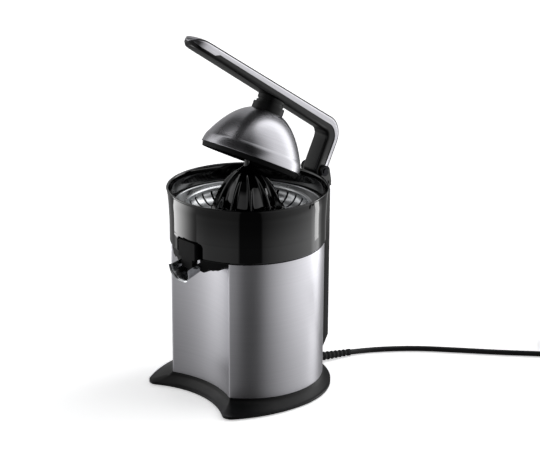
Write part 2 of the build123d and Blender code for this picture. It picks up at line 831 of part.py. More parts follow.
with BuildPart() as output_gear:
    with BuildSketch(Plane.XY.offset(output_bottom)):
        add(gear_outline(gear_teeth, output_phase, gear_backlash))
    extrude(amount=gear_height)
    with BuildSketch(Plane.XY.offset(output_bottom)):
        Circle(hub_radius)
    extrude(amount=hub_top - output_bottom)
    with BuildSketch(Plane.XY.offset(clip_bottom - clip_play)):
        Circle(hub_radius)
        Circle(hub_radius - clip_groove_depth, mode=Mode.SUBTRACT)
    extrude(amount=clip_thickness + 2 * clip_play, mode=Mode.SUBTRACT)
    with BuildSketch(Plane.XY.offset(output_bottom)):
        Rectangle(square_shaft + 2 * sliding_gap, square_shaft + 2 * sliding_gap)
    extrude(amount=hub_top - output_bottom, mode=Mode.SUBTRACT)
finish(output_gear, "output_gear")

with BuildPart() as hub_clip:
    with BuildSketch(Plane.XY.offset(clip_bottom)):
        Circle(clip_outer)
        Circle(hub_radius - clip_groove_depth + running_gap, mode=Mode.SUBTRACT)
        with Locations((clip_outer, 0)):
            Rectangle(2 * clip_outer, clip_opening, mode=Mode.SUBTRACT)
        with Locations((clip_outer / 2, 0)):
            Rectangle(clip_outer, 2 * clip_opening, mode=Mode.SUBTRACT)
    extrude(amount=clip_thickness)
finish(hub_clip, "hub_clip")

with BuildPart() as output_bush:
    with BuildSketch(Plane.XY.offset(gearbox_top - bush_flange_height)):
        Circle(bush_flange)
    extrude(amount=bush_flange_height)
    with BuildSketch(Plane.XY.offset(gearbox_top)):
        Circle(bush_outer)
    extrude(amount=bush_top - gearbox_top)
    with BuildSketch(Plane.XY.offset(gearbox_top - bush_flange_height)):
        Circle(hub_radius + running_gap)
    extrude(amount=bush_top - gearbox_top + bush_flange_height, mode=Mode.SUBTRACT)
finish(output_bush, "output_bush")

with BuildPart() as gearbox_cover:
    with BuildSketch(Plane.XY.offset(gearbox_top)):
        add(gearbox_plan(gearbox_radius))
        with Locations(*ear_points):
            Circle(ear_radius)
        Circle(bush_outer, mode=Mode.SUBTRACT)
        with Locations((0, center_distance)):
            Circle(axle_radius, mode=Mode.SUBTRACT)
        with Locations(*ear_points):
            Circle(ear_shank + seat_gap, mode=Mode.SUBTRACT)
    extrude(amount=gearbox_cover_thickness)
finish(gearbox_cover, "gearbox_cover")

cavity_bottom = gearbox_floor + gearbox_floor_thickness

with BuildPart() as gearbox_housing:
    with BuildSketch(Plane.XY.offset(gearbox_floor)):
        add(gearbox_plan(gearbox_radius))
    extrude(amount=gearbox_top - gearbox_floor)
    with BuildSketch(Plane.XY.offset(gearbox_top - ear_height)):
        with Locations(*ear_points):
            Circle(ear_radius)
    extrude(amount=ear_height)
    with BuildSketch(Plane.XY.offset(cavity_bottom)):
        add(gearbox_plan(gearbox_radius - gearbox_wall))
    extrude(amount=gearbox_top - cavity_bottom, mode=Mode.SUBTRACT)
    with BuildSketch(Plane.XY.offset(cavity_bottom)):
        with Locations((0, center_distance)):
            Circle(2 * axle_radius)
    extrude(amount=idler_bottom - cavity_bottom - moving_gap)
    with BuildSketch(Plane.XY.offset(gearbox_floor)):
        Circle(motor_boss + seat_gap)
        with Locations((0, center_distance)):
            Circle(axle_radius)
        with Locations((motor_screw_x, 0), (-motor_screw_x, 0)):
            Circle(motor_screw_shank + seat_gap)
    extrude(amount=gearbox_top - gearbox_floor, mode=Mode.SUBTRACT)
    with BuildSketch(Plane.XY.offset(gearbox_top - ear_height)):
        with Locations(*ear_points):
            Circle(ear_shank + seat_gap)
    extrude(amount=ear_height, mode=Mode.SUBTRACT)
finish(gearbox_housing, "gearbox_housing")

ear_screw_bottom = gearbox_top - ear_height - ear_head_height

with BuildPart() as gearbox_screws:
    with BuildSketch(Plane.XY.offset(ear_screw_bottom)):
        with Locations(*ear_points):
            Circle(ear_head)
    extrude(amount=ear_head_height)
    with BuildSketch(Plane.XY.offset(ear_screw_bottom)):
        with Locations(*ear_points):
            Circle(ear_shank)
    extrude(amount=cover_top + ear_screw_reach - ear_screw_bottom)
finish(gearbox_screws, "gearbox_screws")

with BuildPart() as idler_axle:
    with BuildSketch(Plane.XY.offset(gearbox_floor + seat_gap)):
        with Locations((0, center_distance)):
            Circle(axle_radius)
    extrude(amount=cover_top - gearbox_floor - seat_gap)
finish(idler_axle, "idler_axle")

with BuildPart() as idler_gear:
    with BuildSketch(Plane.XY.offset(idler_bottom)):
        with Locations((0, center_distance)):
            add(gear_outline(gear_teeth, idler_phase + 180 / gear_teeth, gear_backlash))
    extrude(amount=gear_height)
    with BuildSketch(Plane.XY.offset(idler_bottom + gear_height)):
        with Locations((0, center_distance)):
            add(gear_outline(pinion_teeth, idler_phase + 180 / pinion_teeth, gear_backlash))
    extrude(amount=idler_pinion_top - idler_bottom - gear_height)
    with BuildSketch(Plane.XY.offset(idler_bottom)):
        with Locations((0, center_distance)):
            Circle(axle_radius + running_gap)
    extrude(amount=idler_pinion_top - idler_bottom, mode=Mode.SUBTRACT)
finish(idler_gear, "idler_gear")

with BuildPart() as motor_pinion:
    with BuildSketch(Plane.XY.offset(idler_bottom - moving_gap)):
        add(gear_outline(pinion_teeth, output_phase, gear_backlash))
        Circle(motor_shaft, mode=Mode.SUBTRACT)
    extrude(amount=rotor_pinion_height)
finish(motor_pinion, "motor_pinion")

drive_base = flange_bottom + flange_thickness

with BuildPart() as drive_shaft:
    with BuildSketch(Plane.XY.offset(shaft_bottom)):
        Rectangle(square_shaft, square_shaft)
    extrude(amount=flange_bottom - shaft_bottom)
    with BuildSketch(Plane.XY.offset(flange_bottom)):
        Circle(flange_radius)
    extrude(amount=flange_thickness)
    with BuildSketch(Plane.XY.offset(drive_base)):
        Circle(shaft_radius)
    extrude(amount=drive_bottom - drive_base)
    with BuildSketch(Plane.XY.offset(drive_bottom)):
        Rectangle(drive_square, drive_square)
    extrude(amount=drive_top - drive_bottom)
    chamfer(drive_shaft.faces().sort_by(Axis.Z)[-1].edges(), drive_chamfer)
finish(drive_shaft, "drive_shaft")

switch_height = flange_bottom - press_travel - moving_gap - cover_top
coil_rise = flange_bottom - hub_top - spring_wire - 2 * running_gap

with BuildPart() as spindle_spring:
    with BuildLine(Plane.XY.offset(hub_top + spring_wire / 2 + running_gap)):
        path = Helix(pitch=coil_rise / spring_turns, height=coil_rise, radius=spring_radius)
    with BuildSketch(Plane(origin=path @ 0, z_dir=path % 0)):
        Circle(spring_wire / 2)
    sweep(is_frenet=True)
finish(spindle_spring, "spindle_spring")

with BuildPart() as micro_switch:
    with BuildSketch(Plane.XY.offset(cover_top)):
        with Locations((switch_start_x, 0)):
            Rectangle(switch_length, switch_width, align=(Align.MIN, Align.CENTER))
    extrude(amount=switch_height)
    with BuildSketch(Plane.XY.offset(plunger_foot - press_travel - moving_gap)):
        with Locations((plunger_x, 0)):
            Circle(plunger_radius + sliding_gap)
    extrude(amount=switch_height, mode=Mode.SUBTRACT)
    with BuildSketch(Plane.YZ.offset(switch_start_x + switch_length)):
        with Locations((0, cover_top + switch_height / 2)):
            with GridLocations(tab_spacing / 2, 0, 2, 1):
                Rectangle(tab_thickness, switch_height / 2)
    extrude(amount=tab_length)
finish(micro_switch, "micro_switch")

with BuildPart() as switch_plunger:
    with BuildSketch(Plane.XY.offset(plunger_foot)):
        with Locations((plunger_x, 0)):
            Circle(plunger_radius)
    extrude(amount=flange_bottom - moving_gap - plunger_foot)
    fillet(switch_plunger.faces().sort_by(Axis.Z)[-1].edges(), plunger_radius / 2)
finish(switch_plunger, "switch_plunger")

# ================================================================ motor

can_top = gearbox_floor
bush_run = motor_shaft + running_gap

with BuildPart() as motor_can:
    with BuildSketch(Plane.XY.offset(motor_bottom)):
        Circle(motor_radius)
    extrude(amount=can_top - motor_bottom)
    with BuildSketch(Plane.XY.offset(motor_bottom)):
        Circle(motor_radius - motor_wall)
    extrude(amount=can_top - motor_bottom - motor_wall, mode=Mode.SUBTRACT)
    with BuildSketch(Plane.XY.offset(can_top - motor_wall)):
        Circle(motor_boss)
        with Locations((motor_screw_x, 0), (-motor_screw_x, 0)):
            Circle(motor_screw_shank + running_gap)
    extrude(amount=motor_wall, mode=Mode.SUBTRACT)
finish(motor_can, "motor_can")

cap_top = motor_bottom - running_gap
cap_bottom = cap_top - end_cap_thickness
cap_boss_bottom = cap_bottom - end_cap_boss_drop

with BuildPart() as motor_end_cap:
    with BuildSketch(Plane.XY.offset(cap_bottom)):
        Circle(motor_radius)
        with PolarLocations((motor_radius + end_cap_boss) / 2, end_cap_vents):
            Circle(end_cap_vent_radius, mode=Mode.SUBTRACT)
    extrude(amount=end_cap_thickness)
    with BuildSketch(Plane.XY.offset(cap_boss_bottom)):
        Circle(end_cap_boss)
    extrude(amount=end_cap_boss_drop)
    with BuildSketch(Plane.XY.offset(cap_boss_bottom)):
        Circle(motor_boss)
    extrude(amount=cap_top - cap_boss_bottom, mode=Mode.SUBTRACT)
finish(motor_end_cap, "motor_end_cap")

with BuildPart() as motor_bushes:
    with BuildSketch(Plane.XY.offset(can_top - motor_wall - motor_boss_drop)):
        Circle(motor_boss)
        Circle(bush_run, mode=Mode.SUBTRACT)
    extrude(amount=idler_bottom - 2 * moving_gap - can_top + motor_wall + motor_boss_drop)
    with BuildSketch(Plane.XY.offset(cap_boss_bottom)):
        Circle(motor_boss)
        Circle(bush_run, mode=Mode.SUBTRACT)
    extrude(amount=cap_top - cap_boss_bottom)
finish(motor_bushes, "motor_bushes")

with BuildPart() as motor_screws:
    with BuildSketch(Plane.XY.offset(cavity_bottom)):
        with Locations((motor_screw_x, 0), (-motor_screw_x, 0)):
            Circle(motor_screw_head)
    extrude(amount=motor_screw_head_height)
    with BuildSketch(Plane.XY.offset(can_top - motor_screw_reach)):
        with Locations((motor_screw_x, 0), (-motor_screw_x, 0)):
            Circle(motor_screw_shank)
    extrude(amount=cavity_bottom - can_top + motor_screw_reach)
finish(motor_screws, "motor_screws")

with BuildPart() as motor_magnets:
    with BuildSketch(Plane.XY.offset(magnet_bottom)):
        with BuildLine():
            inner = CenterArc((0, 0), magnet_inner, -magnet_arc / 2, magnet_arc)
            outer = CenterArc((0, 0), motor_radius - motor_wall, -magnet_arc / 2, magnet_arc)
            Line(inner @ 0, outer @ 0)
            Line(inner @ 1, outer @ 1)
        make_face()
    extrude(amount=magnet_top - magnet_bottom)
    mirror(about=Plane.YZ)
finish(motor_magnets, "motor_magnets")

with BuildPart() as rotor_shaft:
    with BuildSketch(Plane.XY.offset(rotor_shaft_bottom)):
        Circle(motor_shaft)
    extrude(amount=rotor_shaft_top - rotor_shaft_bottom)
finish(rotor_shaft, "rotor_shaft")

with BuildPart() as rotor_core:
    with BuildSketch(Plane.XY.offset(rotor_bottom)):
        Circle(rotor_radius)
        Circle(motor_shaft, mode=Mode.SUBTRACT)
        with PolarLocations(rotor_radius, rotor_slots):
            SlotOverall(2 * rotor_slot_depth, rotor_slot_width, mode=Mode.SUBTRACT)
    extrude(amount=rotor_top - rotor_bottom)
finish(rotor_core, "rotor_core")

with BuildPart() as commutator:
    with BuildSketch(Plane.XY.offset(commutator_bottom)):
        Circle(commutator_radius)
        Circle(motor_shaft, mode=Mode.SUBTRACT)
    extrude(amount=commutator_height)
finish(commutator, "commutator")

with BuildPart() as cooling_fan:
    with BuildSketch(Plane.XY.offset(fan_bottom)):
        Circle(fan_radius)
    extrude(amount=fan_disc)
    with BuildSketch(Plane.XY.offset(fan_bottom)):
        Circle(fan_hub)
        with PolarLocations(fan_radius / 2, fan_blades):
            Rectangle(fan_radius - fan_blade_thickness, fan_blade_thickness)
    extrude(amount=fan_height)
    with BuildSketch(Plane.XY.offset(fan_bottom)):
        Circle(motor_shaft)
    extrude(amount=fan_height, mode=Mode.SUBTRACT)
finish(cooling_fan, "cooling_fan")

with BuildPart() as terminal_block:
    with BuildSketch(Plane.XY.offset(shell_bottom)):
        with Locations((terminal_x, terminal_y)):
            Rectangle(terminal_length, terminal_width)
    extrude(amount=terminal_height)
    with BuildSketch(Plane.XY.offset(shell_bottom + terminal_height)):
        with Locations((terminal_x, terminal_y)):
            with GridLocations(0, terminal_width / terminal_ways, 1, terminal_ways):
                Circle(small_shank)
    extrude(amount=-terminal_height / 2, mode=Mode.SUBTRACT)
finish(terminal_block, "terminal_block")

# ================================================================ spout

duct_floor = bowl_floor + duct_lip
duct_height = outlet_height - 2 * duct_lip

with BuildPart() as spout_outlet:
    with BuildSketch(Plane.XZ.offset(-window_back_y)):
        with Locations((0, outlet_block_bottom)):
            Rectangle(2 * outlet_block_half, outlet_block_top - outlet_block_bottom,
                      align=(Align.CENTER, Align.MIN))
        fillet(vertices().sort_by(Axis.Y)[-2:], outlet_round)
    extrude(amount=window_back_y - outlet_block_front)
    with BuildSketch(Plane.XZ.offset(-nozzle_back_y)):
        with Locations((0, nozzle_bottom)):
            Rectangle(2 * nozzle_half, outlet_block_bottom - nozzle_bottom,
                      align=(Align.CENTER, Align.MIN))
    extrude(amount=nozzle_back_y - nozzle_front_y)
    with BuildSketch(Plane.XZ.offset(-window_back_y)):
        with Locations((0, bowl_floor + outlet_height / 2)):
            Rectangle(2 * (outlet_half_width - seat_gap), outlet_height - 2 * seat_gap)
    extrude(amount=-window_wall)
    with BuildSketch(Plane.XZ.offset(-window_back_y - window_wall)):
        with Locations((0, duct_floor)):
            Rectangle(2 * duct_half, duct_height, align=(Align.CENTER, Align.MIN))
    extrude(amount=window_back_y + window_wall - duct_front_y, mode=Mode.SUBTRACT)
    with BuildSketch(Plane.XY.offset(nozzle_bottom)):
        with Locations((0, (duct_front_y + duct_back_y) / 2)):
            Rectangle(2 * duct_half, duct_back_y - duct_front_y)
    extrude(amount=duct_floor + duct_height - nozzle_bottom, mode=Mode.SUBTRACT)
    with BuildSketch(Plane.YZ.offset(-nozzle_half)):
        with Locations((spout_pivot_y, spout_pivot_z)):
            Circle(spout_pin_radius)
    extrude(amount=2 * nozzle_half, mode=Mode.SUBTRACT)
finish(spout_outlet, "spout_outlet")

with BuildPart() as spout_pins:
    with BuildSketch(Plane.YZ.offset(spout_pin_inner)):
        with Locations((spout_pivot_y, spout_pivot_z)):
            Circle(spout_pin_radius)
    extrude(amount=spout_pin_outer - spout_pin_inner)
    mirror(about=Plane.YZ)
finish(spout_pins, "spout_pins")

fall = radians(spout_fall)
channel_plane = Plane(origin=(0, spout_back_y, spout_back_z), x_dir=(1, 0, 0),
                      z_dir=(0, -cos(fall), -sin(fall)))


def channel_section(inset, height):
    """Trapezium of the spout's channel, drawn in by the metal and reaching a height."""
    widen = (spout_top_half - spout_bottom_half) / spout_depth
    low = spout_bottom_half - inset
    high = low + widen * (height - inset)
    with BuildSketch() as section:
        with BuildLine():
            Polyline((-low, inset), (low, inset), (high, height), (-high, height), close=True)
        make_face()
        fillet(section.vertices().sort_by(Axis.Y)[0:2], spout_corner - inset)
    return section.sketch


with BuildPart() as spout_flap:
    with BuildSketch(channel_plane):
        add(channel_section(0, spout_depth))
        add(channel_section(spout_metal, spout_depth + 1), mode=Mode.SUBTRACT)
    extrude(amount=spout_length)
    with BuildSketch(Plane.YZ.offset(-spout_pin_outer)):
        with Locations((spout_pivot_y, spout_pivot_z)):
            Circle(spout_pin_radius + running_gap)
    extrude(amount=2 * spout_pin_outer, mode=Mode.SUBTRACT)
finish(spout_flap, "spout_flap")

# ================================================================ column and fork

column_front_y = body_radius + seat_gap
cover_half = column_half_width - column_wall
bowl_gap_z = deck_top + seat_gap

with BuildPart() as spine_cover:
    with BuildSketch(Plane.YZ):
        with BuildLine():
            Polyline((0, column_bottom), (column_back_y - column_taper_depth, column_bottom),
                     (column_back_y, column_taper_top), (column_back_y, column_top),
                     (0, column_top), close=True)
        make_face()
    extrude(amount=column_half_width, both=True)
    fillet(spine_cover.edges().filter_by(Axis.Z).group_by(Axis.Y)[-1], column_round)
    with BuildSketch(Plane.YZ):
        with BuildLine():
            Polyline((0, column_taper_top), (column_back_y - column_wall, column_taper_top + column_wall),
                     (column_back_y - column_wall, column_top), (0, column_top), close=True)
        make_face()
    extrude(amount=cover_half, both=True, mode=Mode.SUBTRACT)
    with BuildSketch(Plane.XZ.offset(-column_back_y + column_wall)):
        with Locations(*column_screw_spots):
            Circle(cover_boss_radius)
    extrude(amount=column_back_y - column_wall)
    with BuildSketch(Plane.XY.offset(column_bottom)):
        Circle(column_front_y)
    extrude(amount=column_top - column_bottom, mode=Mode.SUBTRACT)
    with BuildSketch(Plane.XY.offset(bowl_gap_z)):
        Circle(bowl_clearance_radius)
    extrude(amount=column_top - bowl_gap_z, mode=Mode.SUBTRACT)
    with BuildSketch(Plane.XZ):
        with Locations(*column_screw_spots):
            Circle(tie_shank + running_gap)
    extrude(amount=-column_back_y + 2 * column_wall, mode=Mode.SUBTRACT)
finish(spine_cover, "spine_cover")

block_bottom = column_top + seat_gap
fork_middle_y = (fork_front_y + column_back_y) / 2
cheek_round = (column_back_y - fork_front_y) / 2
cheek_inner = lever_half_width + moving_gap

with BuildPart() as hinge_fork:
    with BuildSketch(Plane.XY.offset(tongue_bottom)):
        with Locations((0, column_front_y + tongue_thickness)):
            Rectangle(2 * tongue_half_width, 2 * tongue_thickness, align=(Align.CENTER, Align.MAX))
    extrude(amount=fork_block_bottom - tongue_bottom)
    with BuildSketch(Plane.XY.offset(fork_block_bottom)):
        with Locations((0, column_back_y - column_wall - seat_gap)):
            Rectangle(2 * (cover_half - seat_gap), body_radius, align=(Align.CENTER, Align.MAX))
    extrude(amount=block_bottom - fork_block_bottom)
    with BuildSketch(Plane.XY.offset(block_bottom)):
        with Locations((0, column_back_y)):
            Rectangle(2 * column_half_width, body_radius, align=(Align.CENTER, Align.MAX))
        fillet(vertices().sort_by(Axis.Y)[-2:], column_round)
    extrude(amount=fork_step_z - block_bottom)
    with BuildSketch(Plane.YZ.offset(-column_half_width)):
        with BuildLine():
            Polyline((fork_front_y, fork_top - cheek_round), (fork_front_y, fork_step_z),
                     (column_back_y, fork_step_z), (column_back_y, fork_top - cheek_round))
            ThreePointArc((column_back_y, fork_top - cheek_round), (fork_middle_y, fork_top),
                          (fork_front_y, fork_top - cheek_round))
        make_face()
    extrude(amount=2 * column_half_width)
    with BuildSketch(Plane.XY.offset(slot_floor_z)):
        with Locations((0, fork_middle_y)):
            Rectangle(2 * cheek_inner, 2 * column_back_y)
    extrude(amount=fork_top - slot_floor_z, mode=Mode.SUBTRACT)
    with BuildSketch(Plane.XY.offset(tongue_bottom)):
        Circle(column_front_y)
    extrude(amount=fork_step_z - tongue_bottom, mode=Mode.SUBTRACT)
    with BuildSketch(Plane.XY.offset(bowl_gap_z)):
        Circle(bowl_clearance_radius)
    extrude(amount=fork_step_z - bowl_gap_z, mode=Mode.SUBTRACT)
    with BuildSketch(Plane.XZ):
        with Locations(*fork_screw_spots):
            Circle(tie_shank + running_gap)
    extrude(amount=-column_back_y, mode=Mode.SUBTRACT)
    with BuildSketch(Plane.YZ.offset(-column_half_width)):
        with Locations((hinge_y, hinge_z)):
            Circle(pin_radius)
    extrude(amount=2 * column_half_width, mode=Mode.SUBTRACT)
finish(hinge_fork, "hinge_fork")


def back_screws(spots, reach):
    """Screws from inside the body through its back wall; the heads seat on the sheet."""
    head_edge = max(spot[0] for spot in spots) + tie_head
    seat_y = sqrt((body_radius - shell_wall)**2 - head_edge**2)
    with BuildPart() as screws:
        with BuildSketch(Plane.XZ.offset(tie_head_height - seat_y)):
            with Locations(*spots):
                Circle(tie_head)
        extrude(amount=-tie_head_height)
        with BuildSketch(Plane.XZ.offset(-seat_y)):
            with Locations(*spots):
                Circle(tie_shank)
        extrude(amount=-reach)
    return screws


fork_screws = back_screws(fork_screw_spots, tongue_thickness)
finish(fork_screws, "fork_screws")
spine_screws = back_screws(column_screw_spots, spine_screw_reach)
finish(spine_screws, "spine_screws")

clip_start = column_half_width + running_gap
pin_half = clip_start + pin_clip_thickness + clip_play + pin_end

with BuildPart() as hinge_pin:
    with BuildSketch(Plane.YZ):
        with Locations((hinge_y, hinge_z)):
            Circle(pin_radius)
    extrude(amount=pin_half, both=True)
    with BuildSketch(Plane.YZ.offset(clip_start - clip_play)):
        with Locations((hinge_y, hinge_z)):
            Circle(pin_radius)
            Circle(pin_radius - pin_groove, mode=Mode.SUBTRACT)
    groove = extrude(amount=pin_clip_thickness + 2 * clip_play, mode=Mode.SUBTRACT)
    mirror(groove, about=Plane.YZ, mode=Mode.SUBTRACT)
finish(hinge_pin, "hinge_pin")

with BuildPart() as hinge_clips:
    with BuildSketch(Plane.YZ.offset(clip_start)):
        with Locations((hinge_y, hinge_z)):
            Circle(pin_clip_outer)
            Circle(pin_radius - pin_groove + running_gap, mode=Mode.SUBTRACT)
            Rectangle(2 * pin_clip_outer, pin_radius, align=(Align.MIN, Align.CENTER),
                      mode=Mode.SUBTRACT)
    extrude(amount=pin_clip_thickness)
    mirror(about=Plane.YZ)
finish(hinge_clips, "hinge_clips")

# ================================================================ lever

tilt = radians(open_angle)
forward = Vector(0, -cos(tilt), sin(tilt))
upward = Vector(0, sin(tilt), cos(tilt))
lever_side = Plane(origin=(0, hinge_y, hinge_z), x_dir=forward, z_dir=(-1, 0, 0))
lever_plan = Plane(origin=(0, hinge_y, hinge_z), x_dir=forward, z_dir=upward)


def top_line(along):
    """Height of the arm's top above the hinge."""
    return knee_height + (along + leg_back) * tan(radians(arm_top_slope))


def under_line(along):
    """Height of the arm's underside above the hinge."""
    return inner_knee_height + (along - leg_front) * tan(radians(arm_under_slope))


def lever_level(along, height):
    """Plane square to the lever's own upright, at a point of its side view."""
    return Plane(origin=lever_side.from_local_coords((along, height, 0)), x_dir=(1, 0, 0),
                 z_dir=upward)


def lever_blank(inset):
    """The lever's whole outer form, side view crossed with plan, drawn in by inset."""
    back, front = -leg_back + inset, leg_front - inset
    reach = arm_reach - inset
    with BuildPart() as blank:
        with BuildSketch(lever_side):
            with BuildLine():
                FilletPolyline((back, 0), (back, top_line(back) - inset),
                               (reach, top_line(reach) - inset), (reach, under_line(reach) + inset),
                               (front, under_line(front) + inset), (front, 0),
                               radius=[knee_round - inset, nose_round - inset, nose_round - inset,
                                       inner_knee_round + inset])
                ThreePointArc((front, 0), ((front + back) / 2, (back - front) / 2), (back, 0))
            make_face()
        extrude(amount=2 * handle_half_width, both=True)
        with BuildSketch(lever_plan):
            with BuildLine():
                narrow, wide = lever_half_width - inset, handle_half_width - inset
                Polyline((-leg_back, -narrow), (leg_front, -narrow), (reach, -wide), (reach, wide),
                         (leg_front, narrow), (-leg_back, narrow), close=True)
            make_face()
            fillet(vertices().sort_by(Axis.X)[-2:], nose_plan_round - inset)
        extrude(amount=arm_reach, both=True, mode=Mode.INTERSECT)
    return blank.part


def split_line(along):
    """Height of the seam between the lever's cover and its core."""
    return top_line(along) - cover_depth_share * (top_line(along) - under_line(along))


def cover_region(spread):
    """Side view of what the lever's cover wraps, grown by spread."""
    wrap_start = arm_reach - nose_wrap
    leg_edge = cover_leg_depth - leg_back + spread
    nose_edge = under_line(arm_reach) + nose_lip - spread
    beyond = arm_reach + nose_wrap
    with BuildSketch() as region:
        with BuildLine():
            FilletPolyline((beyond, nose_edge), (wrap_start - spread, nose_edge - nose_lip),
                           (wrap_start - cover_step - spread, split_line(wrap_start) - spread),
                           (leg_edge, split_line(leg_edge) - spread),
                           (leg_edge, cover_end_height - spread),
                           (-2 * leg_back, cover_end_height - spread),
                           radius=[cover_corner, cover_step, inner_knee_round, cover_corner / 2])
            Polyline((-2 * leg_back, cover_end_height - spread), (-2 * leg_back, 2 * knee_height),
                     (beyond, 2 * knee_height), (beyond, nose_edge))
        make_face()
    return region.sketch


bushing_outer = pin_radius + running_gap + bush_wall
pin_spot = (0, 0)

with BuildPart() as lever_cover:
    add(lever_blank(0))
    with BuildSketch(lever_side):
        add(cover_region(0))
    extrude(amount=2 * handle_half_width, both=True, mode=Mode.INTERSECT)
    add(lever_blank(cover_metal), mode=Mode.SUBTRACT)
    for along in lever_screw_points:
        with BuildSketch(lever_level(along, top_line(along) - cover_metal / 2)):
            Circle(stud_radius)
        extrude(amount=-stud_height)
        with BuildSketch(lever_level(along, top_line(along) - cover_metal - seat_gap)):
            Circle(small_shank + running_gap)
        extrude(amount=-stud_height, mode=Mode.SUBTRACT)
    with BuildSketch(lever_side):
        with Locations(pin_spot):
            Circle(bushing_outer + seat_gap)
    extrude(amount=2 * lever_half_width, both=True, mode=Mode.SUBTRACT)
finish(lever_cover, "lever_cover")

dome_bottom = dome_rim_z - hinge_z
crown_height = dome_bottom + dome_outline[-1][1]
screw_head_low = crown_height - dome_metal - dome_screw_head_height
dome_screw_top = under_line(hinge_y) + dome_screw_bite

with BuildPart() as lever_core:
    add(lever_blank(0))
    with BuildSketch(lever_side):
        add(cover_region(seat_gap))
    extrude(amount=2 * handle_half_width, both=True, mode=Mode.SUBTRACT)
    add(lever_blank(cover_metal + seat_gap))
    for along in lever_screw_points:
        stud_low = top_line(along) - cover_metal / 2 - stud_height
        with BuildSketch(lever_level(along, stud_low - moving_gap)):
            Circle(stud_radius + seat_gap)
        extrude(amount=2 * stud_height, mode=Mode.SUBTRACT)
        with BuildSketch(lever_level(along, under_line(along) - screw_sink)):
            Circle(small_head + moving_gap)
        extrude(amount=2 * screw_sink, mode=Mode.SUBTRACT)
        with BuildSketch(lever_level(along, under_line(along))):
            Circle(small_shank + moving_gap)
        extrude(amount=knee_height, mode=Mode.SUBTRACT)
    with BuildSketch(lever_level(hinge_y, under_line(hinge_y) - screw_sink)):
        Circle(tie_shank + running_gap)
    extrude(amount=screw_sink + dome_screw_bite + moving_gap, mode=Mode.SUBTRACT)
    with BuildSketch(lever_side):
        with Locations(pin_spot):
            Circle(bushing_outer)
    extrude(amount=2 * lever_half_width, both=True, mode=Mode.SUBTRACT)
finish(lever_core, "lever_core")

with BuildPart() as lever_screws:
    for along in lever_screw_points:
        seat = under_line(along) + screw_sink
        screw_top = top_line(along) - 2 * cover_metal
        with BuildSketch(lever_level(along, seat - small_head_height)):
            Circle(small_head)
        extrude(amount=small_head_height)
        with BuildSketch(lever_level(along, seat)):
            Circle(small_shank)
        extrude(amount=screw_top - seat)
finish(lever_screws, "lever_screws")

with BuildPart() as hinge_bushes:
    with BuildSketch(Plane.YZ.offset(lever_half_width - bushing_length)):
        with Locations((hinge_y, hinge_z)):
            Circle(bushing_outer)
            Circle(pin_radius + running_gap, mode=Mode.SUBTRACT)
    extrude(amount=bushing_length)
    mirror(about=Plane.YZ)
finish(hinge_bushes, "hinge_bushes")

# ================================================================ pressing dome

dome_center = lever_side.from_local_coords((hinge_y, dome_bottom, 0))
dome_section = Plane(origin=dome_center, x_dir=forward, z_dir=(-1, 0, 0))
dome_axis = Axis(dome_center, upward)


def dome_side(inset):
    """Points up the dome's side, moved in square to its surface."""
    points = []
    for index, (radius, height) in enumerate(dome_outline):
        before = dome_outline[max(index - 1, 0)]
        after = dome_outline[min(index + 1, len(dome_outline) - 1)]
        run, rise = after[0] - before[0], after[1] - before[1]
        slant = hypot(run, rise)
        points.append((radius - inset * rise / slant, height + inset * run / slant))
    return points


def dome_skin(outer_inset, inner_inset, drop, hole):
    """Closed section between two insets of the dome's side, reaching drop below its rim."""
    outside, inside = dome_side(outer_inset), dome_side(inner_inset)
    with BuildSketch() as section:
        with BuildLine():
            Spline(*outside)
            Spline(*inside)
            Polyline(outside[-1], (hole, outside[-1][1]), (hole, inside[-1][1]), inside[-1])
            if drop:
                Polyline(outside[0], (outside[0][0] - liner_taper / 2, -drop),
                         (inside[0][0] - liner_taper / 2, -drop), inside[0])
            else:
                Line(outside[0], inside[0])
        make_face()
    return section.sketch


with BuildPart() as dome_shell:
    with BuildSketch(dome_section):
        add(dome_skin(0, dome_metal, 0, tie_shank + moving_gap))
    revolve(axis=dome_axis)
finish(dome_shell, "dome_shell")

liner_inset = dome_metal + seat_gap

with BuildPart() as dome_liner:
    with BuildSketch(dome_section):
        add(dome_skin(liner_inset, liner_inset + liner_wall, liner_drop, dome_hole))
    revolve(axis=dome_axis)
finish(dome_liner, "dome_liner")

collar_low = crown_height + sheet_gap
collar_high = collar_low + dome_collar_height

with BuildPart() as dome_collar:
    with BuildSketch(lever_level(hinge_y, collar_low)):
        Circle(dome_collar_radius)
        Circle(tie_shank + moving_gap, mode=Mode.SUBTRACT)
    extrude(amount=dome_collar_height)
finish(dome_collar, "dome_collar")

with BuildPart() as dome_neck:
    with BuildSketch(lever_level(hinge_y, collar_high)):
        Circle(neck_radius)
        Circle(tie_shank + moving_gap, mode=Mode.SUBTRACT)
    extrude(amount=neck_reach)
    with BuildSketch(lever_level(hinge_y, (collar_high + under_line(hinge_y) - neck_groove_height) / 2)):
        Circle(neck_radius)
        Circle(neck_radius - neck_groove, mode=Mode.SUBTRACT)
    extrude(amount=neck_groove_height, mode=Mode.SUBTRACT)
    with BuildSketch(lever_side):
        with BuildLine():
            Polyline((0, under_line(0) - seat_gap), (arm_reach, under_line(arm_reach) - seat_gap),
                     (arm_reach, 2 * arm_reach), (0, 2 * arm_reach), close=True)
        make_face()
    extrude(amount=2 * neck_radius, both=True, mode=Mode.SUBTRACT)
finish(dome_neck, "dome_neck")

with BuildPart() as dome_screw:
    with BuildSketch(lever_level(hinge_y, screw_head_low)):
        Circle(dome_screw_head)
    extrude(amount=dome_screw_head_height - sheet_gap)
    with BuildSketch(lever_level(hinge_y, screw_head_low)):
        Circle(tie_shank)
    extrude(amount=dome_screw_top - screw_head_low)
finish(dome_screw, "dome_screw")

# ================================================================ cord and plug

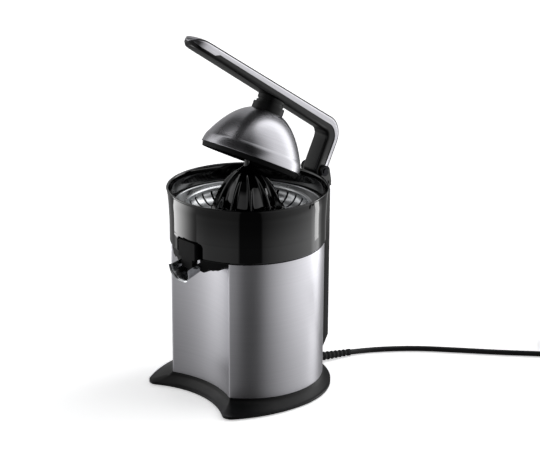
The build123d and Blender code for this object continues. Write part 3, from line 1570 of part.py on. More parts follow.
with BuildPart() as strain_relief:
    with BuildSketch(relief_plane):
        Circle(relief_root_radius)
    with BuildSketch(relief_plane.offset(relief_length)):
        Circle(relief_tip_radius)
    loft()
    with BuildSketch(relief_plane.offset(-relief_boss_depth - seat_gap)):
        Circle(relief_neck_radius)
    extrude(amount=relief_boss_depth + seat_gap)
    with BuildSketch(relief_plane.offset(-relief_boss_depth - seat_gap)):
        Rectangle(relief_flange_width, relief_flange_height)
    extrude(amount=-relief_flange_depth)
finish(strain_relief, "strain_relief")

route = [Vector(*point) for point in cord_route]
corner_radii = []
for before, corner, after in zip(route, route[1:], route[2:]):
    turn = (corner - before).get_angle(after - corner)
    shorter = min((corner - before).length, (after - corner).length)
    corner_radii.append(0.45 * shorter / tan(radians(turn / 2)))
print("cord corner radii", [round(radius, 1) for radius in corner_radii])

with BuildPart() as cord_run:
    with BuildLine() as run_path:
        FilletPolyline(*cord_route, radius=corner_radii)
    run_line = run_path.wires()[0]
    with BuildSketch(Plane(origin=run_line @ 0, z_dir=run_line % 0)):
        Circle(cord_radius)
    sweep(path=run_line)
print("cord run length", round(run_line.length, 1), "volume share",
      round(cord_run.part.volume / (pi * cord_radius**2 * run_line.length), 4))
finish(cord_run, "cord_run")

heading = (route[-1] - route[-2]).normalized()
coil_center = route[-1] + coil_turn_radius * Vector(-heading.Y, heading.X, 0)
coil_inner = coil_turn_radius - (coil_columns - 1) * coil_pitch - cord_radius
coil_width = (coil_columns - 1) * coil_pitch + 2 * cord_radius
coil_height = (coil_layers - 1) * coil_layer_rise + 2 * cord_radius
coil_bottom = route[-1].Z - cord_radius
coil_axis = Axis((coil_center.X, coil_center.Y, 0), (0, 0, 1))

with BuildPart() as cord_coil:
    with BuildSketch(Plane(origin=(coil_center.X, coil_center.Y, coil_bottom), x_dir=(1, 0, 0),
                           z_dir=(0, -1, 0))):
        with Locations((coil_inner, 0)):
            Rectangle(coil_width, coil_height, align=(Align.MIN, Align.MIN))
        fillet(vertices(), cord_radius - sliding_gap)
    revolve(axis=coil_axis)
finish(cord_coil, "cord_coil")

plug_base = route[-1] + plug_start * heading
plug_plane = Plane(origin=(plug_base.X, plug_base.Y, plug_height / 2),
                   x_dir=(-heading.Y, heading.X, 0), z_dir=heading)
pin_places = GridLocations(plug_pin_spacing, 0, 2, 1)

with BuildPart() as plug_body:
    with BuildSketch(plug_plane):
        Circle(plug_boot_radius)
    extrude(amount=plug_boot)
    with BuildSketch(plug_plane.offset(plug_boot)):
        RectangleRounded(plug_width, plug_height, plug_round)
    extrude(amount=plug_length)
finish(plug_body, "plug_body")

with BuildPart() as plug_pins:
    with BuildSketch(plug_plane.offset(plug_boot + plug_length)):
        with pin_places:
            Circle(plug_pin_radius)
    extrude(amount=plug_pin_length)
finish(plug_pins, "plug_pins")
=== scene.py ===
import math
import bmesh
import bpy
import numpy as np
from mathutils import Matrix


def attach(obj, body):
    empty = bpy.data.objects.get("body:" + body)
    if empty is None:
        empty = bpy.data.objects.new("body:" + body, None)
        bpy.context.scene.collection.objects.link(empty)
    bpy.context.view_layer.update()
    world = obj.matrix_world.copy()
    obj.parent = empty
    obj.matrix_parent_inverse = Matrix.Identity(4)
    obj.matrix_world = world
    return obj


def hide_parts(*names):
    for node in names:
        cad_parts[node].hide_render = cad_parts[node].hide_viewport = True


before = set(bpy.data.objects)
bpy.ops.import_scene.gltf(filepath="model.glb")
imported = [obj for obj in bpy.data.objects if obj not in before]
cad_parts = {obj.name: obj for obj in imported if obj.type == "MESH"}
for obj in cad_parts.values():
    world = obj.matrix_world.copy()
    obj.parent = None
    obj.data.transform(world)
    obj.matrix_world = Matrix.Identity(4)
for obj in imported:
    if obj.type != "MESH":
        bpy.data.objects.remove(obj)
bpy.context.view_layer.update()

mm = 0.001


def addNode(tree, kind, sockets=None, **settings):
    # one node of a shader tree, with its settings, and its sockets given as values or as links
    node = tree.nodes.new("ShaderNode" + kind)
    for name, value in settings.items():
        setattr(node, name, value)
    for name, value in (sockets or {}).items():
        if isinstance(value, bpy.types.NodeSocket):
            tree.links.new(value, node.inputs[name])
        else:
            node.inputs[name].default_value = value
    return node


def paint(hexCode):
    # an sRGB hex colour turned to linear light
    parts = np.array([int(hexCode[i:i + 2], 16) for i in (1, 3, 5)]) / 255
    linear = np.where(parts <= 0.04045, parts / 12.92, ((parts + 0.055) / 1.055) ** 2.4)
    return (*linear.tolist(), 1.0)


def startMaterial(name):
    # an empty node material and its tree
    material = bpy.data.materials.new(name)
    material.use_nodes = True
    tree = material.node_tree
    tree.nodes.clear()
    return material, tree


def closeMaterial(tree, sockets):
    # the shader that ends a material's tree
    shader = addNode(tree, "BsdfPrincipled", sockets)
    addNode(tree, "OutputMaterial", {"Surface": shader.outputs[0]})


# camera: a long lens, a little above the bowl and off its right front
camera = {
    "place": (1.30595, -1.17588, 0.77949),
    "right": (0.677805, 0.735229, 0.004234),
    "up": (-0.243067, 0.218640, 0.945048),
    "forward": (-0.693901, 0.641588, -0.326905),
    "lens": 119.05, "sensor": 36, "near": 0.05, "far": 60,
}
lens = bpy.data.cameras.new("studioCamera")
lens.lens, lens.sensor_width = camera["lens"], camera["sensor"]
lens.clip_start, lens.clip_end = camera["near"], camera["far"]
eye = bpy.data.objects.new("studioCamera", lens)
bpy.context.scene.collection.objects.link(eye)
axes = np.array([camera["right"], camera["up"], -np.array(camera["forward"])]).T
eye.matrix_world = Matrix.Translation(camera["place"]) @ Matrix(axes.tolist()).to_4x4()
bpy.context.scene.camera = eye
print("camera placed")

# studio: white paper on the table, and a soft light tent that is dark towards the camera,
# brightens to each side and has its brightest strip on the right
studio = {
    "paper": 1.7,      # overexposed, so it gives back more than it gets
    "paperGlow": 0.50,      # the paper's own light, so that it stays white
    "paperRough": 0.9,
    "floorSize": 14.0,
    "air": (0.99, 0.995, 1.0, 1),      # a trace of blue in all the light
    "tentMost": 2.4,      # the tent's ramp is stored as shares of this brightness
    # turn from the camera's own direction in degrees, brightness of the tent there
    "tent": [(-180, 0.45), (-170, 0.40), (-163, 0.35), (-152, 0.30), (-138, 0.25), (-133, 0.60),
             (-128, 0.80), (-114, 1.00), (-108, 1.05), (-90, 0.74), (-75, 0.54), (-60, 0.42),
             (-30, 0.36), (-14, 0.30), (-11.5, 0.05), (20, 0.05), (22.5, 0.24), (30, 0.36),
             (45, 0.58), (60, 0.80), (75, 0.98), (90, 1.15), (106, 1.25), (113, 1.95),
             (127, 2.05), (132, 0.80), (140, 0.25), (152, 0.15), (164, 0.20), (172, 0.40)],
    # share of that brightness left high up: dark over the camera and to its left, bright right
    "hood": [(-180, 1.00), (-160, 0.90), (-150, 0.12), (-128, 0.12), (-121, 0.12), (-117, 0.90),
             (-106, 0.90), (-101, 0.08), (-60, 0.04), (30, 0.06), (62, 0.70), (85, 1.00),
             (130, 1.00), (150, 0.50), (165, 0.90)],
    "hoodFrom": 21, "hoodTo": 34,      # degrees up between which the hood closes
    "lowFrom": -30, "lowTo": -16, "lowShare": 0.40,      # the tent darkens below the table's edge
    "roofFrom": 74, "roofTo": 89, "roof": 0.30,      # and above the press
    # lit cards close to either side, seen in the bowl's gloss alone: the steel under it looks out
    # below them; the turns that each spans, and its brightness at either end
    "cards": [(-116, -66, 3.2, 0.25), (97, 107, 3.6, 3.6)],
    "cardReach": 0.21, "cardLow": 0.118, "cardHigh": 0.19, "cardSteps": 24,
}
scene = bpy.context.scene
scene.view_settings.view_transform = "Standard"
world = bpy.data.worlds.new("lightTent")
scene.world = world
world.use_nodes = True
air = world.node_tree
air.nodes.clear()
cameraTurn = math.atan2(camera["place"][1], camera["place"][0])
towards = addNode(air, "SeparateXYZ", {0: addNode(air, "TexCoord").outputs["Generated"]})
turn = addNode(air, "Math", {0: towards.outputs[1], 1: towards.outputs[0]}, operation="ARCTAN2")
turn = addNode(air, "Math", {0: turn.outputs[0], 1: -cameraTurn}, operation="ADD")
turn = addNode(air, "Math", {0: turn.outputs[0], 1: math.pi, 2: -math.pi}, operation="WRAP")
turn = addNode(air, "MapRange", {0: turn.outputs[0], 1: -math.pi, 2: math.pi})
ramp = addNode(air, "ValToRGB", {0: turn.outputs[0]})
hoodRamp = addNode(air, "ValToRGB", {0: turn.outputs[0]})
for made, stops, most in ((ramp, studio["tent"], studio["tentMost"]), (hoodRamp, studio["hood"], 1.0)):
    elements = made.color_ramp.elements
    elements.remove(elements[1])
    for index, (degrees, level) in enumerate(stops):
        stop = elements[0] if index == 0 else elements.new(degrees / 360 + 0.5)
        stop.position = degrees / 360 + 0.5
        stop.color = [level / most] * 3 + [1]
    last = elements.new(1.0)       # the ring closes on its first brightness
    last.color = elements[0].color
side = addNode(air, "Math", {0: ramp.outputs[0], 1: studio["tentMost"]}, operation="MULTIPLY")
climb = addNode(air, "Math", {0: towards.outputs[2]}, operation="ARCSINE")
low, high, roof = (addNode(air, "MapRange", {0: climb.outputs[0], 1: math.radians(studio[zone + "From"]),
                                             2: math.radians(studio[zone + "To"]), 3: start, 4: 1.0},
                           interpolation_type="SMOOTHSTEP")
                   for zone, start in (("low", studio["lowShare"]), ("hood", 0.0), ("roof", 0.0)))
side = addNode(air, "Math", {0: side.outputs[0], 1: low.outputs[0]}, operation="MULTIPLY")
hood = addNode(air, "Mix", {"Factor": high.outputs[0], "A": 1.0, "B": hoodRamp.outputs[0]})
side = addNode(air, "Math", {0: side.outputs[0], 1: hood.outputs[0]}, operation="MULTIPLY")
bright = addNode(air, "Mix", {"Factor": roof.outputs[0], "A": side.outputs[0], "B": studio["roof"]})
seen = addNode(air, "Mix", {"Factor": addNode(air, "LightPath").outputs["Is Camera Ray"],
                            "A": bright.outputs[0], "B": 1.0})
shade = addNode(air, "Background", {"Color": studio["air"], "Strength": seen.outputs[0]})
addNode(air, "OutputWorld", {"Surface": shade.outputs[0]})

half = studio["floorSize"] / 2
floorMesh = bpy.data.meshes.new("floor")
floorMesh.from_pydata([(-half, -half, 0), (half, -half, 0), (half, half, 0), (-half, half, 0)],
                      [], [(0, 1, 2, 3)])
floor = bpy.data.objects.new("floor", floorMesh)
scene.collection.objects.link(floor)
floor.visible_glossy = False      # the tent's lower part lights the press in its place
floor.visible_diffuse = False
paper, paperTree = startMaterial("whitePaperRoll")
closeMaterial(paperTree, {"Base Color": [studio["paper"]] * 3 + [1], "Roughness": studio["paperRough"],
                          "Specular IOR Level": 0.0, "Emission Color": (1, 1, 1, 1),
                          "Emission Strength": studio["paperGlow"]})
floorMesh.materials.append(paper)

for number, (start, end, startGlow, endGlow) in enumerate(studio["cards"]):
    bend = np.radians(np.linspace(start, end, studio["cardSteps"])) + cameraTurn
    ring = studio["cardReach"] * np.stack([np.cos(bend), np.sin(bend)], axis=1)
    cardPoints = [(x, y, z) for z in (studio["cardLow"], studio["cardHigh"]) for x, y in ring.tolist()]
    cardFaces = [(i, i + 1, i + 1 + len(ring), i + len(ring)) for i in range(len(ring) - 1)]
    cardMesh = bpy.data.meshes.new("lowCard%d" % number)
    cardMesh.from_pydata(cardPoints, [], cardFaces)
    card = bpy.data.objects.new("lowCard%d" % number, cardMesh)
    scene.collection.objects.link(card)
    card.visible_camera = card.visible_diffuse = card.visible_shadow = False
    lit, tree = startMaterial("litCard%d" % number)
    across = addNode(tree, "SeparateXYZ", {0: addNode(tree, "TexCoord").outputs["Object"]})
    fade = addNode(tree, "MapRange", {0: across.outputs[0], 1: float(ring[0, 0]),
                                      2: float(ring[-1, 0]), 3: startGlow, 4: endGlow},
                   interpolation_type="SMOOTHSTEP")
    glow = addNode(tree, "Emission", {"Strength": fade.outputs[0]})
    addNode(tree, "OutputMaterial", {"Surface": glow.outputs[0]})
    cardMesh.materials.append(lit)
print("studio lit")

# nearly all values of the grain's noise and of the clouds' noise lie in these spans
grainSpan, cloudSpan = (0.25, 0.75), (0.3, 0.7)


def closeSkin(tree, look, grain, cloud, tint, more):
    # a colour between the look's two tones, gloss that follows the clouds and relief from the grain
    colour = addNode(tree, "Mix", {"Factor": tint, "A": paint(look["dark"]), "B": paint(look["light"])},
                     data_type="RGBA").outputs["Result"]
    rough = addNode(tree, "MapRange", {"Value": cloud, "From Min": cloudSpan[0], "From Max": cloudSpan[1],
                                       "To Min": look["rough"][0], "To Max": look["rough"][1]}).outputs[0]
    bump = addNode(tree, "Bump", {"Height": grain, "Strength": look["bump"],
                                  "Distance": look["depth"] * mm}).outputs[0]
    closeMaterial(tree, {"Base Color": colour, "Roughness": rough, "Normal": bump, **more})


def brushedSteel(name, look):
    # metal with a drawn-out grain: its lines draw each highlight out across them, and slow clouds
    # of roughness show where the belt pressed harder; the grain's sizes are how far it runs along
    # each axis, or out from the axis and up it where the lines are rings
    material, tree = startMaterial(name)
    place = addNode(tree, "TexCoord").outputs["Object"]
    lined = addNode(tree, "Mapping", {"Vector": place, "Location": look.get("centre", (0, 0, 0)),
                                      "Rotation": (look.get("lean", 0), 0, 0)}).outputs[0]
    if "rings" in look:
        parts = addNode(tree, "SeparateXYZ", {"Vector": lined})
        flat = addNode(tree, "CombineXYZ", {"X": parts.outputs[0], "Y": parts.outputs[1]})
        reach = addNode(tree, "VectorMath", {0: flat.outputs[0]}, operation="LENGTH").outputs["Value"]
        lined = addNode(tree, "CombineXYZ", {"X": reach, "Y": parts.outputs[2]}).outputs[0]
    stretch = [1 / (size * mm) for size in look["grain"]]
    lines = addNode(tree, "Mapping", {"Vector": lined, "Scale": stretch}).outputs[0]
    grain = addNode(tree, "TexNoise", {"Vector": lines, "Scale": 1.0, "Detail": 3.0,
                                       "Roughness": 0.65}).outputs[0]
    cloud = addNode(tree, "TexNoise", {"Vector": place, "Scale": 1 / (look["cloud"] * mm),
                                       "Detail": 2.0}).outputs[0]
    tone = addNode(tree, "MapRange", {"Value": grain, "From Min": grainSpan[0], "From Max": grainSpan[1],
                                      "To Min": 0.0, "To Max": 1.0}).outputs[0]
    closeSkin(tree, look, grain, cloud, tone, {"Metallic": 1.0})
    return material


def mouldedPlastic(name, look):
    # moulded plastic: a fine spark-eroded or polished skin, with faint handling wear in its gloss
    material, tree = startMaterial(name)
    place = addNode(tree, "TexCoord").outputs["Object"]
    grain = addNode(tree, "TexNoise", {"Vector": place, "Scale": 1 / (look["grain"] * mm), "Detail": 2.0,
                                       "Roughness": 0.6}).outputs[0]
    cloud = addNode(tree, "TexNoise", {"Vector": place, "Scale": 1 / (look["cloud"] * mm),
                                       "Detail": 3.0}).outputs[0]
    closeSkin(tree, look, grain, cloud, cloud, {"IOR": look.get("ior", 1.5)})
    return material


# metals: grain and clouds in mm, and the depth of the grain in mm
steelLooks = {
    # belt-brushed stainless sheet: level lines spread every highlight up and down into soft upright
    # bands; the real lines are about 0.1 mm apart, drawn 1.2 mm apart so that they show
    "bodySteel": {"grain": (166.7, 166.7, 1.2), "cloud": 80, "dark": "#DBDADF", "light": "#E1E0E5",
                  "rough": (0.33, 0.36), "bump": 0.008, "depth": 0.1},
    # stainless strip brushed along the arm: darker, with a soft sheen across its crown; drawn
    # 0.7 mm apart for lines of 0.1 mm
    "armSteel": {"grain": (0.7, 71.43, 0.7), "lean": math.radians(32), "cloud": 50,
                 "dark": "#B6B5B9", "light": "#CDCCD1", "rough": (0.24, 0.30), "bump": 0.02,
                 "depth": 0.1},
    # spun stainless dome, brushed while it turned: rings that fan its highlights out from the
    # crown; drawn 1.2 mm apart for lines of 0.1 mm
    "domeSteel": {"rings": True, "grain": (1.2, 1.2, 1.2), "centre": (0, 0.10926, -0.2231),
                  "lean": math.radians(27), "cloud": 60, "dark": "#BDBCC1", "light": "#CCCBD0",
                  "rough": (0.24, 0.28), "bump": 0.015, "depth": 0.1},
    # deep-drawn stainless sieve: pale, with faint rings from its pressing, drawn 1.2 mm apart
    "strainerSteel": {"rings": True, "grain": (1.2, 1.2, 1.2), "cloud": 20, "dark": "#D8DADC",
                      "light": "#F0F2F4", "rough": (0.26, 0.32), "bump": 0.03, "depth": 0.1},
    # ground and polished shafts: nearly a mirror
    "polishedSteel": {"grain": (3.333, 3.333, 3.333), "cloud": 20, "dark": "#BDBFC2",
                      "light": "#CDCFD2", "rough": (0.06, 0.1), "bump": 0.01, "depth": 0.05},
    # electropolished stainless spout: bright, with blurred reflections
    "spoutSteel": {"grain": (3.333, 3.333, 3.333), "cloud": 20, "dark": "#BDBFC2",
                   "light": "#D5D7DA", "rough": (0.18, 0.24), "bump": 0.02, "depth": 0.05},
    # zinc-plated screws and clips: a cool grey, slightly mottled
    "zincSteel": {"grain": (1.111, 1.111, 1.111), "cloud": 4, "dark": "#9B9DA0",
                  "light": "#B7B9BB", "rough": (0.3, 0.42), "bump": 0.08, "depth": 0.05},
    # deep-drawn motor can: dull steel with draw marks up its side
    "motorSteel": {"grain": (5, 5, 1.111), "cloud": 10, "dark": "#84878A", "light": "#9EA1A4",
                   "rough": (0.35, 0.45), "bump": 0.06, "depth": 0.1},
    # stacked 0.5 mm laminations: dark, with an edge line for each sheet
    "coreSteel": {"grain": (20, 20, 0.5), "cloud": 10, "dark": "#5B5E60", "light": "#85888A",
                  "rough": (0.45, 0.55), "bump": 0.3, "depth": 0.2},
    # sintered bronze bushes: brown and finely porous
    "sinteredBronze": {"grain": (0.4, 0.4, 0.4), "cloud": 3, "dark": "#8C6A35", "light": "#B08A4B",
                       "rough": (0.4, 0.5), "bump": 0.2, "depth": 0.1},
    # turned copper bars: warm, with wear lines along them
    "barCopper": {"grain": (1.667, 1.667, 16.67), "cloud": 3, "dark": "#A35D3B", "light": "#C97F58",
                  "rough": (0.25, 0.35), "bump": 0.06, "depth": 0.1},
    # blackened steel pin: oily dark satin
    "blackOxide": {"grain": (1.429, 1.429, 1.429), "cloud": 4, "dark": "#141416", "light": "#232326",
                   "rough": (0.38, 0.48), "bump": 0.05, "depth": 0.05},
    # nickel-plated brass pins: a warm bright grey
    "nickelPin": {"grain": (2, 2, 2), "cloud": 5, "dark": "#B7B4AA", "light": "#CBC8BF",
                  "rough": (0.16, 0.24), "bump": 0.03, "depth": 0.05},
}

# plastics, rubbers and coatings: grain, clouds and depth in mm
plasticLooks = {
    # spark-eroded ABS: black with a soft sheen
    "satinAbs": {"grain": 0.9, "cloud": 30, "dark": "#050506", "light": "#08080A",
                 "rough": (0.34, 0.44), "bump": 0.08, "depth": 0.1, "ior": 1.38},
    # finer-grained ABS of the arm: its edges catch clearer highlights
    "leverAbs": {"grain": 0.9, "cloud": 30, "dark": "#070708", "light": "#0A0A0C",
                 "rough": (0.26, 0.32), "bump": 0.06, "depth": 0.1, "ior": 1.46},
    # coarsely eroded ABS: dull black that holds no highlight
    "matteAbs": {"grain": 0.9, "cloud": 30, "dark": "#040405", "light": "#060608",
                 "rough": (0.55, 0.65), "bump": 0.1, "depth": 0.1, "ior": 1.3},
    # ABS from a polished mould: deep black that mirrors the lights
    "glossAbs": {"grain": 4, "cloud": 50, "dark": "#030304", "light": "#050506",
                 "rough": (0.03, 0.06), "bump": 0.004, "depth": 0.1, "ior": 1.7},
    # plain ABS of the inner parts: charcoal, unpolished
    "innerAbs": {"grain": 1.2, "cloud": 20, "dark": "#101012", "light": "#1A1A1D",
                 "rough": (0.45, 0.55), "bump": 0.2, "depth": 0.1},
    # powder-coated cast aluminium: black with a faint orange peel
    "paintedCast": {"grain": 1.5, "cloud": 20, "dark": "#0D0D0E", "light": "#161618",
                    "rough": (0.4, 0.5), "bump": 0.3, "depth": 0.2},
    # moulded acetal gears: waxy off-white
    "acetalGear": {"grain": 1, "cloud": 10, "dark": "#DDD9CC", "light": "#EFECE2",
                   "rough": (0.35, 0.45), "bump": 0.05, "depth": 0.1},
    # moulded rubber: dull black
    "softRubber": {"grain": 0.8, "cloud": 10, "dark": "#0B0B0B", "light": "#151515",
                   "rough": (0.65, 0.75), "bump": 0.2, "depth": 0.1},
    # silicone lip seal: dull mid grey
    "siliconeSeal": {"grain": 0.8, "cloud": 10, "dark": "#58595B", "light": "#6A6B6D",
                     "rough": (0.5, 0.6), "bump": 0.1, "depth": 0.1},
    # pressed ferrite magnets: charcoal and gritty
    "ferriteBlock": {"grain": 1, "cloud": 8, "dark": "#1B1B1D", "light": "#2B2B2E",
                     "rough": (0.55, 0.65), "bump": 0.3, "depth": 0.1},
    # extruded PVC sheath: black with a soft line of light along it
    "cordSheath": {"grain": 1, "cloud": 10, "dark": "#111112", "light": "#19191A",
                   "rough": (0.38, 0.46), "bump": 0.08, "depth": 0.1},
}
finishes = {name: brushedSteel(name, look) for name, look in steelLooks.items()}
finishes.update({name: mouldedPlastic(name, look) for name, look in plasticLooks.items()})

# which nodes of the frame wear each finish
wearing = {
    "bodySteel": ["steel_shell"],
    "armSteel": ["lever_cover"],
    "domeSteel": ["dome_shell"],
    "strainerSteel": ["strainer"],
    "polishedSteel": ["drive_shaft", "rotor_shaft"],
    "spoutSteel": ["spout_flap"],
    "zincSteel": ["cover_screws", "housing_screws", "gearbox_screws", "motor_screws", "fork_screws",
                  "spine_screws", "lever_screws", "dome_screw", "idler_axle", "hub_clip",
                  "spindle_spring", "spout_pins"],
    "blackOxide": ["hinge_pin", "hinge_clips"],
    "motorSteel": ["motor_can", "motor_end_cap"],
    "coreSteel": ["rotor_core"],
    "sinteredBronze": ["motor_bushes", "output_bush", "hinge_bushes"],
    "barCopper": ["commutator"],
    "nickelPin": ["plug_pins"],
    "leverAbs": ["lever_core"],
    "satinAbs": ["base_foot", "dome_neck", "dome_collar", "spine_cover", "plug_body", "top_deck"],
    "matteAbs": ["spout_fairing", "spout_outlet", "dome_liner"],
    "glossAbs": ["juice_bowl", "reamer"],
    "innerAbs": ["bottom_cover", "gearbox_housing", "gearbox_cover", "micro_switch", "switch_plunger",
                 "terminal_block", "cooling_fan"],
    "paintedCast": ["hinge_fork"],
    "acetalGear": ["output_gear", "idler_gear", "motor_pinion"],
    "softRubber": ["anti_slip_ring", "strain_relief"],
    "siliconeSeal": ["shaft_seal"],
    "ferriteBlock": ["motor_magnets"],
    "cordSheath": ["cord_run", "cord_coil"],
}
for finishName, names in wearing.items():
    for name in names:
        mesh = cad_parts[name].data
        mesh.materials.clear()
        mesh.materials.append(finishes[finishName])
bare = set(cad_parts) - {name for names in wearing.values() for name in names}
print("materials on", len(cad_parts) - len(bare), "nodes, without:", sorted(bare))


def standFor(piece, body, slotName, *names):
    # a finished piece rides on its body and takes the place of the named nodes
    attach(piece, body)
    if names:
        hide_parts(*names)
    return piece


# mains cord: it leaves the foot and runs out over the table, and is coiled beyond the view
cordLook = {
    "thickness": 6.0,
    # chosen places of its middle line, from the strain relief to the coil
    "route": [(27.1, 127.9, 4.2), (31.5, 142, 3.2), (44, 163.5, 3.1), (68, 193.5, 3.1),
              (100.5, 221.5, 3.1), (137, 252, 3.1), (171.5, 284, 3.1), (203, 310, 3.1)],
    "coilRadii": (36.1, 30.0), "turns": 4, "pointsPerTurn": 16,
    # where along the turns the coil steps inwards and out again, and where it climbs
    "stepAt": [0, 0.9, 1.1, 2.9, 3.1, 4], "climbAt": [0, 1.85, 2.15, 4], "layerRise": 5.7,
    "plugFrom": 10.0, "plugSleeve": 6.0, "plugHeight": 13.4,
    "rings": 5, "stretchSteps": 8,
}


def cordPoints(look):
    # the route, then circles about a centre left of its end: two turns on the table going inwards,
    # two on top of them going outwards, and the end in the plug's sleeve
    route = np.array(look["route"], float)
    heading = route[-1] - route[-2]
    heading[2] = 0
    heading /= np.linalg.norm(heading)
    leftward = np.array([-heading[1], heading[0], 0])
    outer, inner = look["coilRadii"]
    centre = route[-1] + outer * leftward
    steps = np.arange(1, look["turns"] * look["pointsPerTurn"] + 1)
    turn = steps / look["pointsPerTurn"]
    angle = math.atan2(-leftward[1], -leftward[0]) + 2 * math.pi * turn
    across = np.interp(turn, look["stepAt"], [outer, outer, inner, inner, outer, outer])
    rise = np.interp(turn, look["climbAt"], [0, 0, look["layerRise"], look["layerRise"]])
    coil = np.stack([centre[0] + across * np.cos(angle), centre[1] + across * np.sin(angle),
                     route[-1][2] + rise], axis=1)
    plugAt = np.append(route[-1][:2], look["plugHeight"] / 2)
    tail = plugAt + np.outer([look["plugFrom"], look["plugFrom"] + look["plugSleeve"]], heading)
    return np.concatenate([route, coil, tail]), heading


cordLine, cordHeading = cordPoints(cordLook)
points = cordLine * mm
line = bpy.data.curves.new("mainsCord", "CURVE")
line.dimensions = "3D"
line.bevel_depth = cordLook["thickness"] / 2 * mm
line.bevel_resolution = cordLook["rings"]
line.resolution_u = cordLook["stretchSteps"]
line.use_fill_caps = True
spline = line.splines.new("NURBS")
spline.points.add(len(points) - 1)
spline.points.foreach_set("co", np.concatenate([points, np.ones((len(points), 1))], axis=1).ravel())
spline.order_u = 3
spline.use_endpoint_u = True
cord = bpy.data.objects.new("mainsCord", line)
scene.collection.objects.link(cord)
line.materials.append(finishes["cordSheath"])
standFor(cord, "housing", "cord_black", "cord_run", "cord_coil")
print("cord laid")


def gridFaces(rows, columns, ringRows=False, ringColumns=False):
    # quads over a grid of points, numbered row by row; a ring's last line joins its first
    r = np.arange(rows if ringRows else rows - 1)[:, None]
    c = np.arange(columns if ringColumns else columns - 1)[None, :]
    below, right = (r + 1) % rows, (c + 1) % columns
    return np.stack([r * columns + c, r * columns + right, below * columns + right,
                     below * columns + c], axis=-1).reshape(-1, 4)


mergeReach = 0.000004      # points of a piece this near to each other are one, in metres


def makePiece(name, grid, finish, body, slotName, nodes, ringRows=False, ringColumns=False, crease=40,
              faces=None):
    # a closed piece from a grid of points in millimetres: doubled points are merged, faces turned
    # outwards, and edges sharper than the crease angle in degrees kept sharp
    rows, columns = grid.shape[:2]
    if faces is None:
        faces = gridFaces(rows, columns, ringRows, ringColumns).tolist()
    mesh = bpy.data.meshes.new(name)
    mesh.from_pydata((grid.reshape(-1, 3) * mm).tolist(), [], faces)
    shape = bmesh.new()
    shape.from_mesh(mesh)
    bmesh.ops.remove_doubles(shape, verts=shape.verts, dist=mergeReach)
    bmesh.ops.dissolve_degenerate(shape, edges=shape.edges, dist=mergeReach)
    bmesh.ops.recalc_face_normals(shape, faces=shape.faces)
    shape.to_mesh(mesh)
    shape.free()
    mesh.shade_smooth()
    mesh.set_sharp_from_angle(angle=math.radians(crease))
    mesh.materials.append(finishes[finish])
    piece = bpy.data.objects.new(name, mesh)
    scene.collection.objects.link(piece)
    return standFor(piece, body, slotName, *nodes)


def cappedFaces(grid):
    # the faces of a tube of rings, with one face over either end
    rows, columns = grid.shape[:2]
    firstRing = list(range(columns))
    lastRing = [(rows - 1) * columns + i for i in firstRing]
    return gridFaces(rows, columns, False, True).tolist() + [firstRing, lastRing]


def joined(*tubes):
    # several closed tubes as the points and faces of one piece
    faces, count = [], 0
    for tube in tubes:
        faces += [[count + i for i in face] for face in cappedFaces(tube)]
        count += tube.shape[0] * tube.shape[1]
    return np.concatenate([tube.reshape(-1, 1, 3) for tube in tubes]), faces


def prism(outline, levels, order):
    # an outline of two coordinates repeated at each level, its third; order says which of the
    # three becomes x, which y and which z
    rows = [np.column_stack([outline, np.full(len(outline), level)])[:, order] for level in levels]
    return np.stack(rows)


def rounded(corners, radii, steps=6):
    # an outline whose every corner is an arc that touches both its sides: the arc's points swing
    # from one touching point to the other about the centre on the corner's bisector
    corners, radii = np.array(corners, float), np.array(radii, float)[:, None]
    past = np.roll(corners, 1, axis=0) - corners
    ahead = np.roll(corners, -1, axis=0) - corners
    past /= np.linalg.norm(past, axis=1, keepdims=True)
    ahead /= np.linalg.norm(ahead, axis=1, keepdims=True)
    half = np.arccos(np.clip((past * ahead).sum(axis=1, keepdims=True), -1, 1)) / 2
    half = np.clip(half, 0.001, math.pi / 2 - 0.001)
    middle = (past + ahead) / np.linalg.norm(past + ahead, axis=1, keepdims=True)
    centre = corners + middle * radii / np.sin(half)
    first = corners + past * radii / np.tan(half) - centre
    last = corners + ahead * radii / np.tan(half) - centre
    sweep = math.pi - 2 * half
    share = np.linspace(0, 1, steps + 1)[None, :, None]
    sweep, centre, first, last = sweep[:, None], centre[:, None], first[:, None], last[:, None]
    arc = centre + (np.sin((1 - share) * sweep) * first + np.sin(share * sweep) * last) / np.sin(sweep)
    return arc.reshape(-1, 2)


def smoothLine(points, steps):
    # a Catmull-Rom line through the points, with steps new points on each stretch
    points = np.array(points, float)
    ends = np.concatenate([2 * points[:1] - points[1:2], points, 2 * points[-1:] - points[-2:-1]])
    a, b, c, d = (ends[i:len(ends) - 3 + i, None] for i in range(4))
    t = np.arange(steps)[None, :, None] / steps
    line = 0.5 * (2 * b + (c - a) * t + (2 * a - 5 * b + 4 * c - d) * t ** 2
                  + (3 * b - 3 * c + d - a) * t ** 3)
    return np.concatenate([line.reshape(-1, points.shape[1]), points[-1:]])


def leftOf(line):
    # unit normals to the left of an open line, from the differences of its points
    along = np.gradient(line, axis=0)
    along /= np.maximum(np.linalg.norm(along, axis=1, keepdims=True), 1e-9)
    return np.stack([-along[:, 1], along[:, 0]], axis=1)


def spun(outline, turns, centre=(0, 0, 0), tilt=0.0):
    # an outline of (radius, height) carried round its axis, which leans back by the tilt
    radius, height = outline[:, :1], outline[:, 1:]
    x, y = radius * np.cos(turns), radius * np.sin(turns)
    height = height + 0 * turns
    return np.stack([x, y * math.cos(tilt) + height * math.sin(tilt),
                     height * math.cos(tilt) - y * math.sin(tilt)], axis=-1) + np.array(centre)


def fullTurn(steps):
    # the turns of a ring of points
    return np.arange(steps)[None, :] * 2 * math.pi / steps


